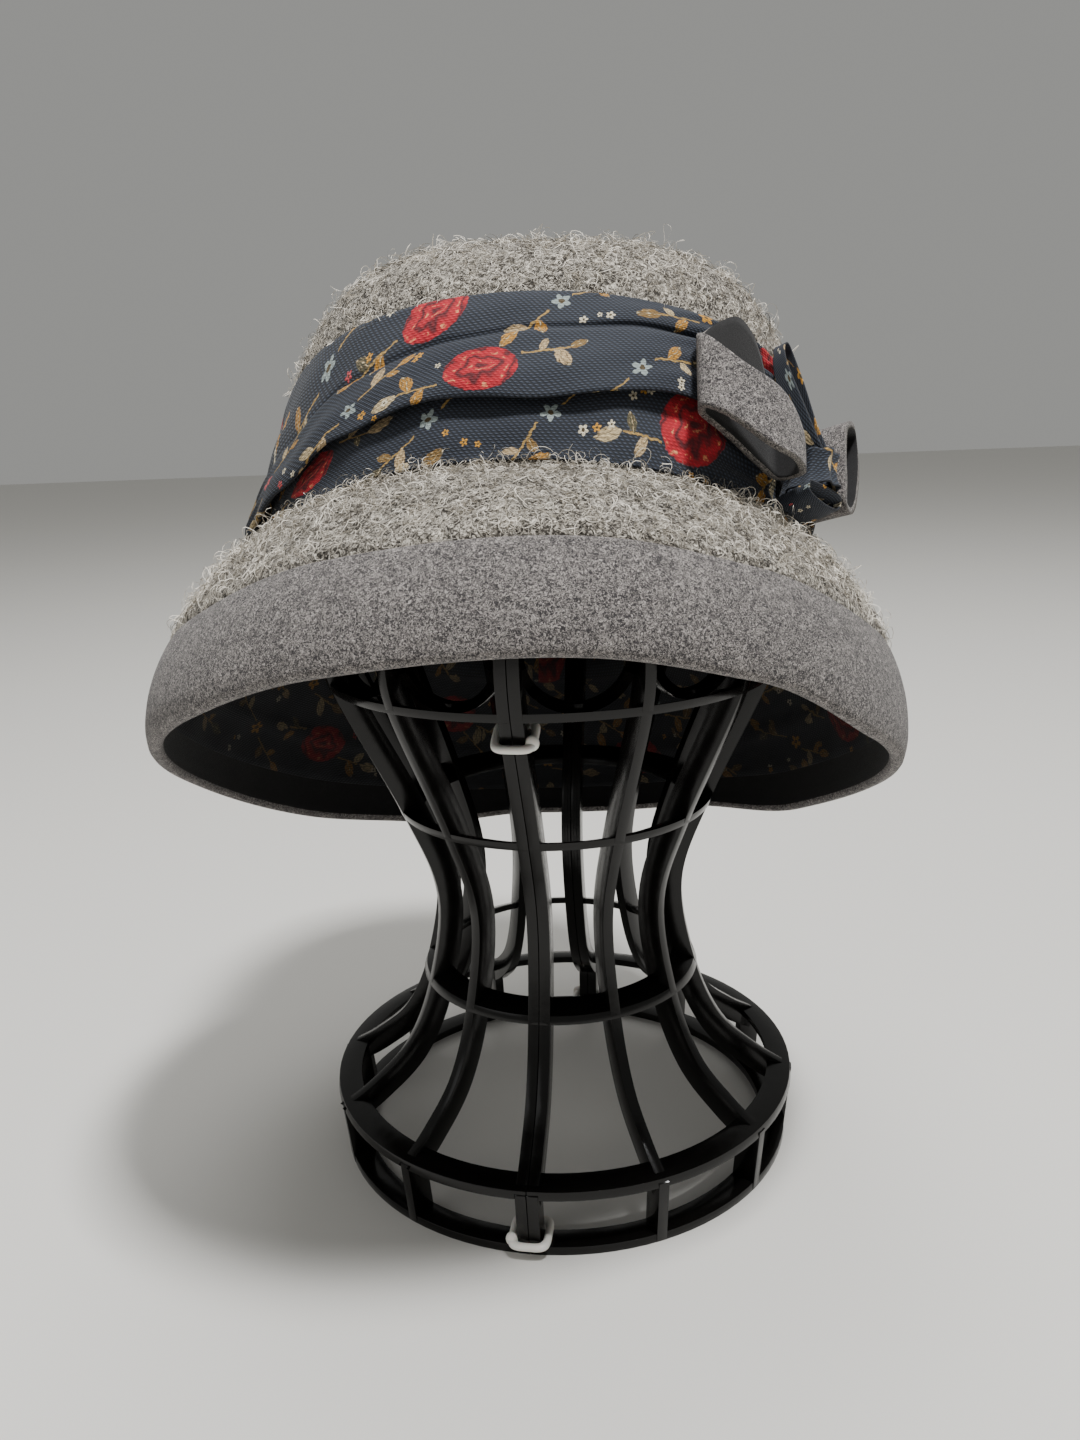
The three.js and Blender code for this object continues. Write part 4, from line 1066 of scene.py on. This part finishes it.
def tie_form(sizes, turn, height, lock_side, centre):
    """A tie round the pair of ribs at the joint: a round wire on a rounded rectangle, with its lock
    on one side."""
    radii, heights = (line[:OUTLINE_ROWS + 1] for line in stand_outline(sizes))
    radius = float(np.interp(height, heights, radii))
    growth = float(np.interp(height + 1 * MM, heights, radii)) - radius
    lean = Vector((growth, 1 * MM)).normalized()
    half, play = sizes.tie_wire / 2, 0.8 * MM
    wide = sizes.rib_thickness + sizes.split_gap / 2 + play + half
    deep = sizes.bar_depth / 2 + play + half

    def place(share, roll):
        angle, roll = share * 2 * np.pi, roll * 2 * np.pi
        cos, sin = np.cos(angle), np.sin(angle)
        grow, lift = half * np.cos(roll), half * np.sin(roll)
        depth = sizes.bar_depth / 2 - (deep + grow) * np.sign(cos) * np.sqrt(np.abs(cos))
        side = (wide + grow) * np.sign(sin) * np.sqrt(np.abs(sin))
        return [
            around(
                turn, radius - d * lean.y + l * lean.x, s,
                height + d * lean.x + l * lean.y, centre,
            )
            for d, s, l in zip(depth, side, lift)
        ]

    bm = bent_grid(64, 14, place, (1, 1), closes=True)
    lock = bmesh.ops.create_uvsphere(bm, u_segments=16, v_segments=10, radius=1.9 * MM)["verts"]
    bmesh.ops.scale(bm, vec=(1.15, 0.9, 1.3), verts=lock)
    bmesh.ops.translate(
        bm, verts=lock,
        vec=around(turn, radius - 0.5 * MM, lock_side * wide * 0.95, height + 0.6 * MM, centre),
    )
    bmesh.ops.recalc_face_normals(bm, faces=bm.faces)
    return bm


def curl_mesh(name, hat, count, seed, stretch, turns, sizes):
    """Loose curly fibres as one mesh of thin ribbons, over a stretch of the hat's surface in metres
    from the brim's edge."""
    rng = np.random.default_rng(seed)
    steps, free_share, sunk_in = 8, 0.16, 0.15 * MM
    share = np.linspace(0, 1, steps + 1)[None, :]
    start = rng.uniform(*stretch, (count, 1))
    start_turn = rng.uniform(*turns, (count, 1))
    reach = sizes.curl_length * rng.uniform(0.45, 1.3, (count, 1))
    heading = rng.uniform(0, 2 * np.pi, (count, 1))
    curl = rng.choice([-1, 1], (count, 1)) * rng.uniform(0.25, 1.5, (count, 1))
    angle = heading + curl * reach / sizes.curl_radius * share
    way = start + np.cumsum(np.sin(angle), axis=1) * reach / steps
    # A fibre may end a little outside the stretch that it starts in
    way = np.clip(way, stretch[0] - 1 * MM, stretch[1] + 3 * MM)
    row = hat.row_after(way)
    radius = np.maximum(smooth_curve(hat.radii, row), 10 * MM)
    turn = start_turn + np.degrees(np.cumsum(np.cos(angle), axis=1) * reach / steps / radius)
    lift = sizes.curl_lift * rng.gamma(1.5, 0.5, (count, 1))
    # Most fibres arch over the wool with both ends in it, and the rest end in the air
    free = rng.random((count, 1)) < free_share
    out = lift * np.where(free, share ** 1.3, np.sin(np.pi * share) ** 0.8) - sunk_in
    out = out + hat.sunk(way)
    points = hat.skin(row, turn, out).reshape(count, steps + 1, 3)
    aside = np.cross(np.gradient(points, axis=1), rng.normal(size=(count, 1, 3)))
    aside /= np.maximum(np.linalg.norm(aside, axis=2, keepdims=True), 1e-12)
    half = (1 - 0.55 * share[:, :, None] ** 3) * sizes.curl_width / 2
    verts = np.stack([points - aside * half, points + aside * half], axis=2).reshape(-1, 3)
    base = np.arange(count)[:, None] * 2 * (steps + 1) + 2 * np.arange(steps)[None, :]
    faces = np.stack([base, base + 1, base + 3, base + 2], axis=2).reshape(-1, 4)
    mesh = bpy.data.meshes.new(name)
    mesh.from_pydata(verts.tolist(), [], faces.tolist())
    # Each fibre's tone is random, plus painted light: fibres that stand high are lighter, and low ones
    # darker as painted shade from the others
    tone = rng.normal(0.2, 0.3, (count, 1)) + 0.28 * lift / sizes.curl_lift
    shade = mesh.attributes.new("shade", "FLOAT", "POINT")
    tones = np.repeat(np.clip(tone, 0.02, 1), 2 * (steps + 1))
    shade.data.foreach_set("value", tones.astype(np.float32))
    mesh.shade_smooth()
    return mesh


class StandOperator(bpy.types.Operator):
    """Makes the two moulded halves of the stand and the white ties"""

    bl_idname = "hat.stand"
    bl_label = "Stand"

    def execute(self, context):
        sizes, finishes = context.scene.stand_sizes, context.scene.finishes
        black = finished("moulded_black_polypropylene", moulded_black, finishes)
        white = finished("moulded_white_nylon", moulded_white, finishes)
        centre = stand_axis()
        for side, start in (("right", sizes.split_turn), ("left", sizes.split_turn + 180)):
            nodes = [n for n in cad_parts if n.startswith(f"stand_{side}_")]
            bm = stand_half(sizes, start, centre)
            piece = add_piece(context, f"{side}_half", bm, [black], nodes)
            piece.data.set_sharp_from_angle(angle=math.radians(50))
        low = sizes.ring_thickness + sizes.tie_wire / 2 + 0.6 * MM
        for node, turn, height, lock_side in (
            ("clip_front_bottom", sizes.split_turn, low, -1),
            ("clip_rear_bottom", sizes.split_turn + 180, low, 1),
            ("clip_front_top", sizes.split_turn, sizes.head_height - 9 * MM, 1),
        ):
            bm = tie_form(sizes, turn, height, lock_side, centre)
            add_piece(context, node.replace("clip", "tie"), bm, [white], [node])
        return {"FINISHED"}


class CrownOperator(bpy.types.Operator):
    """Makes the crown's wool wall and its melton top"""

    bl_idname = "hat.crown"
    bl_label = "Crown"

    def execute(self, context):
        sizes, finishes = context.scene.hat_sizes, context.scene.finishes
        hat = HatForm(sizes)
        wool = finished("boiled_wool", boiled_wool, finishes)
        melton = finished("wool_melton", wool_melton, finishes)
        foot, seam = hat.distance_to(hat.foot), hat.distance_to(hat.tip)
        end = hat.travel[-1]

        def side(across, up):
            way = foot + denser_ends(up) * (seam - foot)
            return hat.skin(hat.row_after(way), full_turn(across), hat.sunk(way))

        def tip(across, up):
            way = seam + (1 - (1 - up) ** 1.5) * (end - seam)
            dip = seam_dip(way - seam, sizes.seam_dip, MELTON_SEAM_WIDTH)
            return hat.skin(hat.row_after(way), full_turn(across), dip)

        round_it = 2 * math.pi * sizes.half_width
        bm = bent_grid(192, 48, side, (round_it, seam - foot), closes=True)
        add_piece(context, "crown_wall", bm, [wool], ["crown_side"],
                  wall=sizes.wool_wall)
        bm = bent_grid(128, 28, tip, (round_it / 2, end - seam), closes=True)
        add_piece(context, "crown_top", bm, [melton], ["crown_tip"],
                  wall=sizes.melton_wall)
        return {"FINISHED"}


class BrimOperator(bpy.types.Operator):
    """Makes the brim's wool, its melton edge with the hem, and the lining"""

    bl_idname = "hat.brim"
    bl_label = "Brim and lining"

    def execute(self, context):
        sizes, finishes = context.scene.hat_sizes, context.scene.finishes
        hat = HatForm(sizes)
        wool = finished("boiled_wool", boiled_wool, finishes)
        melton = finished("wool_melton", wool_melton, finishes)
        shaded_hem_felt = finished("melton_in_painted_shade", painted_shade_felt)
        seam, foot = hat.distance_to(hat.seam), hat.distance_to(hat.foot)
        hem, fold = sizes.hem_depth, sizes.melton_wall
        cut = hem + math.pi * fold + seam
        denser_at_seam = 1.3
        round_it = 2 * math.pi * (sizes.half_width + sizes.brim_flare)

        def top(across, up):
            way = seam + denser_ends(up) * (foot - seam)
            return hat.skin(hat.row_after(way), full_turn(across), hat.sunk(way))

        def edge(across, up):
            # Up the inside from the hem, round the fold, and up the outside to the seam
            way = cut * (1 - up) ** denser_at_seam
            outside = np.clip(seam - way, 0, seam)
            bend = np.clip((way - seam) / (math.pi * fold), 0, 1) * math.pi
            inside = np.clip(way - seam - math.pi * fold, 0, hem)
            up_from_edge = np.where(way <= seam, outside, inside) + fold * (1 - np.sin(bend))
            row = hat.row_after(np.maximum(up_from_edge, 0))
            dip = seam_dip(way, sizes.seam_dip, MELTON_SEAM_WIDTH)
            return hat.skin(row, full_turn(across), dip - fold * (1 - np.cos(bend)))

        def lining(across, up):
            low = hem + 0.6 * MM
            way = low + up * (hat.travel[-1] - low)
            turn = full_turn(across)
            loose = np.clip((foot - way) / (foot - low), 0, 1)
            ripple = loose * (0.35 + 0.35 * np.sin(np.radians(turn) * 31 + way / MM * 0.1)) * MM
            under = hat.sunk(way) - sizes.lining_depth - ripple
            return hat.skin(hat.row_after(way), turn, under)

        bm = bent_grid(224, 36, top, (round_it, foot - seam), closes=True)
        add_piece(context, "brim_wool", bm, [wool], ["brim_top"],
                  wall=sizes.wool_wall)
        bm = bent_grid(224, 56, edge, (round_it, seam + hem), closes=True)
        cloth_map = bm.loops.layers.uv["cloth"]
        # Painted shade: the hem's faces, turned up inside the brim, take the dark melton that stands in
        # for the shade there
        turned_up = 1 - (1 - hem / cut) ** (1 / denser_at_seam)
        for face in bm.faces:
            share = face.loops[0][cloth_map].uv.y * MM / (seam + hem)
            face.material_index = int(share < turned_up)
        # A little less than the melton's wall, so that the hem and the outside don't touch
        add_piece(context, "brim_melton", bm, [melton, shaded_hem_felt], ["brim_edge"],
                  wall=sizes.melton_wall - 0.2 * MM)
        # Painted shade: the lining's print is darkened to a fifth, for the shade under the brim
        print_cloth = finished("printed_lining_in_painted_shade", printed_cotton, finishes,
                               "printed_lining_in_painted_shade", 0.2)
        flat = (round_it, hat.travel[-1] - hem)
        bm = bent_grid(224, 72, lining, flat, closes=True)
        cloth = add_piece(context, "lining_cloth", bm, [print_cloth], ["lining"],
                          wall=0.5 * MM)
        print_on(cloth, 11)
        return {"FINISHED"}


class BandOperator(bpy.types.Operator):
    """Makes the folded band of printed cotton"""

    bl_idname = "hat.band"
    bl_label = "Band"

    def execute(self, context):
        hat = HatForm(context.scene.hat_sizes)
        sizes = context.scene.trim_sizes
        band = BandForm(hat, sizes)
        cotton = finished("printed_cotton_poplin", printed_cotton, context.scene.finishes)
        round_it = 2 * math.pi * 1.03 * context.scene.hat_sizes.half_width
        bm = bent_grid(400, 96, lambda u, v: band.cloth(full_turn(u), v), (round_it, band.cut),
                       closes=True)
        cloth = add_piece(context, "band_cloth", bm, [cotton], ["hat_band"],
                          wall=sizes.band_cloth)
        print_on(cloth, 5)
        return {"FINISHED"}


class BowOperator(bpy.types.Operator):
    """Makes the bow: two felt loops, two print loops and the gathered knot"""

    bl_idname = "hat.bow"
    bl_label = "Bow"

    def execute(self, context):
        hat = HatForm(context.scene.hat_sizes)
        sizes, finishes = context.scene.trim_sizes, context.scene.finishes
        band = BandForm(hat, sizes)
        melton = finished("wool_melton", wool_melton, finishes)
        # Painted shade: the loops' inner faces take the dark melton that stands in for the shade inside
        # them
        inside = finished("melton_in_painted_shade", painted_shade_felt)
        cut = finished("melton_cut_edge", melton_cut_edge, finishes)
        cotton = finished("printed_cotton_poplin", printed_cotton, finishes)

        def lying(share, across):
            turn, out, low, high = (
                round_curve(np.array(FELT_LOOP_FRONT[c], float), share)
                for c in ("turn", "out", "low", "high")
            )
            return band.before(turn, low + across * (high - low), out)

        def standing(table):
            def place(share, across):
                turn, rise, near, far = (
                    round_curve(np.array(table[c], float), share)
                    for c in ("turn", "rise", "near", "far")
                )
                return band.before(turn, rise, near + across * (far - near))

            return place

        for name, node, place in (
            ("felt_loop_front", "bow_felt_front", lying),
            ("felt_loop_back", "bow_felt_back", standing(FELT_LOOP_BACK)),
        ):
            bm = bent_grid(96, 16, place, FELT_STRIP, closes=True)
            face_outwards(bm)
            piece = add_piece(context, name, bm, [melton, inside, cut], [node],
                              wall=sizes.bow_felt, centred=True)
            declare_loop(piece)
        for name, node, table, seed in (
            ("print_loop_upper", "bow_print_upper", PRINT_LOOP_UPPER, 21),
            ("print_loop_lower", "bow_print_lower", PRINT_LOOP_LOWER, 22),
        ):
            bm = bent_grid(96, 14, standing(table), PRINT_STRIP, closes=True)
            face_outwards(bm)
            piece = add_piece(context, name, bm, [cotton], [node],
                              wall=sizes.band_cloth, centred=True)
            print_on(piece, seed)
            declare_loop(piece)

        def knot(share, up):
            angle = share * 2 * np.pi
            pull = 0.85 + 0.15 * (2 * up - 1) ** 2
            reach = pull * (1 + 0.07 * np.cos(KNOT_GATHERS * angle + 2 * up))
            turn = KNOT["turn"] + KNOT["half_turn"] * reach * np.cos(angle)
            out = KNOT["out"] + KNOT["half_out"] * reach * np.sin(angle)
            return band.before(turn, KNOT["low"] + KNOT["rise"] * up, out)

        bm = bent_grid(96, 14, knot, KNOT_STRIP, closes=True)
        face_outwards(bm)
        piece = add_piece(context, "knot_cloth", bm, [cotton], ["bow_knot"],
                          wall=sizes.band_cloth)
        print_on(piece, 23)
        declare_loop(piece)
        return {"FINISHED"}


def declare_loop(piece):
    """Reads the flat cloth map of a loop of cloth that sits on the band, and keeps nothing of it."""
    mesh = piece.data
    cloth = np.zeros(len(mesh.loops) * 2)
    mesh.uv_layers["cloth"].data.foreach_get("uv", cloth)


class CurlsOperator(bpy.types.Operator):
    """Makes the loose curly fibres of the boiled wool"""

    bl_idname = "hat.curls"
    bl_label = "Curly fibres"

    def execute(self, context):
        hat = HatForm(context.scene.hat_sizes)
        sizes = context.scene.trim_sizes
        fibre = finished("curly_wool_fibre", wool_fibre, context.scene.finishes)
        foot, seam = hat.distance_to(hat.foot), hat.distance_to(hat.seam)
        # They keep off the melton at both seams, and run in under both edges of the band
        brim = (seam + 2.2 * MM, foot + 2.5 * MM)
        crown = (
            hat.distance_to(hat.row_at(sizes.band_height - 2 * MM)),
            hat.distance_to(hat.tip) - 1.6 * MM,
        )
        for name, seed, stretch, turns in (
            ("wool_curls_crown", 3, crown, (-180, 180)),
            ("wool_curls_front", 4, brim, (-90, 90)),
            ("wool_curls_rear", 5, brim, (90, 270)),
        ):
            mesh = curl_mesh(name, hat, sizes.curls, seed, stretch, turns, sizes)
            mesh.materials.append(fibre)
            piece = bpy.data.objects.new(name, mesh)
            context.scene.collection.objects.link(piece)
            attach(piece, "root")
        return {"FINISHED"}


class StageOperator(bpy.types.Operator):
    """Makes the floor, the lights and the camera"""

    bl_idname = "hat.stage"
    bl_label = "Stage"

    def execute(self, context):
        scene = context.scene
        bm = bmesh.new()
        bmesh.ops.create_grid(bm, x_segments=8, y_segments=8, size=6)
        mesh = bpy.data.meshes.new("floor")
        bm.to_mesh(mesh)
        bm.free()
        mesh.materials.append(finished("matt_laminate", plain_floor, scene.finishes))
        floor = bpy.data.objects.new("floor", mesh)
        scene.collection.objects.link(floor)

        world = bpy.data.worlds.new("studio")
        world.use_nodes = True
        sky = world.node_tree.nodes["Background"]
        sky.inputs["Color"].default_value = linear("#eeeeea")
        sky.inputs["Strength"].default_value = 0.36
        scene.world = world
        middle = stand_axis() + Vector((0, 0, 0.18))
        for name, place, size, power in (
            ("key_light", (0.4, -0.5, 1.7), 0.26, 50),
            ("fill_light", (-1.2, -0.9, 0.9), 1.2, 4),
            ("top_light", (-0.1, 0.4, 1.7), 0.9, 10),
        ):
            data = bpy.data.lights.new(name, "AREA")
            data.size, data.energy = size, power
            lamp = bpy.data.objects.new(name, data)
            lamp.location = middle + Vector(place)
            lamp.rotation_mode = "QUATERNION"
            lamp.rotation_quaternion = (middle - lamp.location).to_track_quat("-Z", "Y")
            scene.collection.objects.link(lamp)

        # The camera stands before the hat, looks down a little and is held not quite level
        pitch, yaw, roll = (math.radians(a) for a in (14.7, -0.62, -2.12))
        right = Vector((math.cos(yaw), -math.sin(yaw), 0))
        ahead = Vector((math.sin(yaw) * math.cos(pitch), math.cos(yaw) * math.cos(pitch),
                        -math.sin(pitch)))
        above = right.cross(ahead)
        turned_right = right * math.cos(roll) + above * math.sin(roll)
        turned_up = above * math.cos(roll) - right * math.sin(roll)
        data = bpy.data.cameras.new("camera")
        data.lens, data.sensor_width = 29.1, 36
        camera = bpy.data.objects.new("camera", data)
        rotation = Matrix((turned_right, turned_up, -ahead)).transposed()
        camera.matrix_world = Matrix.Translation(
            stand_axis() + Vector((0, -0.404, 0.2631))
        ) @ rotation.to_4x4()
        scene.collection.objects.link(camera)
        scene.camera = camera
        return {"FINISHED"}


class HatPanel(bpy.types.Panel):
    """Lists the pieces of the hat and its stand"""

    bl_idname = "VIEW3D_PT_hat"
    bl_label = "Cloche Hat"
    bl_space_type = "VIEW_3D"
    bl_region_type = "UI"
    bl_category = "Hat"

    def draw(self, context):
        for operator in OPERATORS:
            self.layout.operator(operator.bl_idname)


SETTINGS = {
    "stand_sizes": StandSizes,
    "hat_sizes": HatSizes,
    "trim_sizes": TrimSizes,
    "finishes": Finishes,
}
OPERATORS = (
    StageOperator, StandOperator, CrownOperator, BrimOperator, BandOperator, BowOperator,
    CurlsOperator,
)


def register():
    """Registers the settings, the operators and the panel."""
    for kind in (*SETTINGS.values(), *OPERATORS, HatPanel):
        bpy.utils.register_class(kind)
    for name, kind in SETTINGS.items():
        setattr(bpy.types.Scene, name, PointerProperty(type=kind))


def unregister():
    """Takes the settings, the operators and the panel out again."""
    for name in SETTINGS:
        delattr(bpy.types.Scene, name)
    for kind in (HatPanel, *OPERATORS, *SETTINGS.values()):
        bpy.utils.unregister_class(kind)


def main():
    """Makes every piece in order."""
    register()
    for operator in OPERATORS:
        area, name = operator.bl_idname.split(".")
        getattr(getattr(bpy.ops, area), name)()


if __name__ == "__main__":
    main()
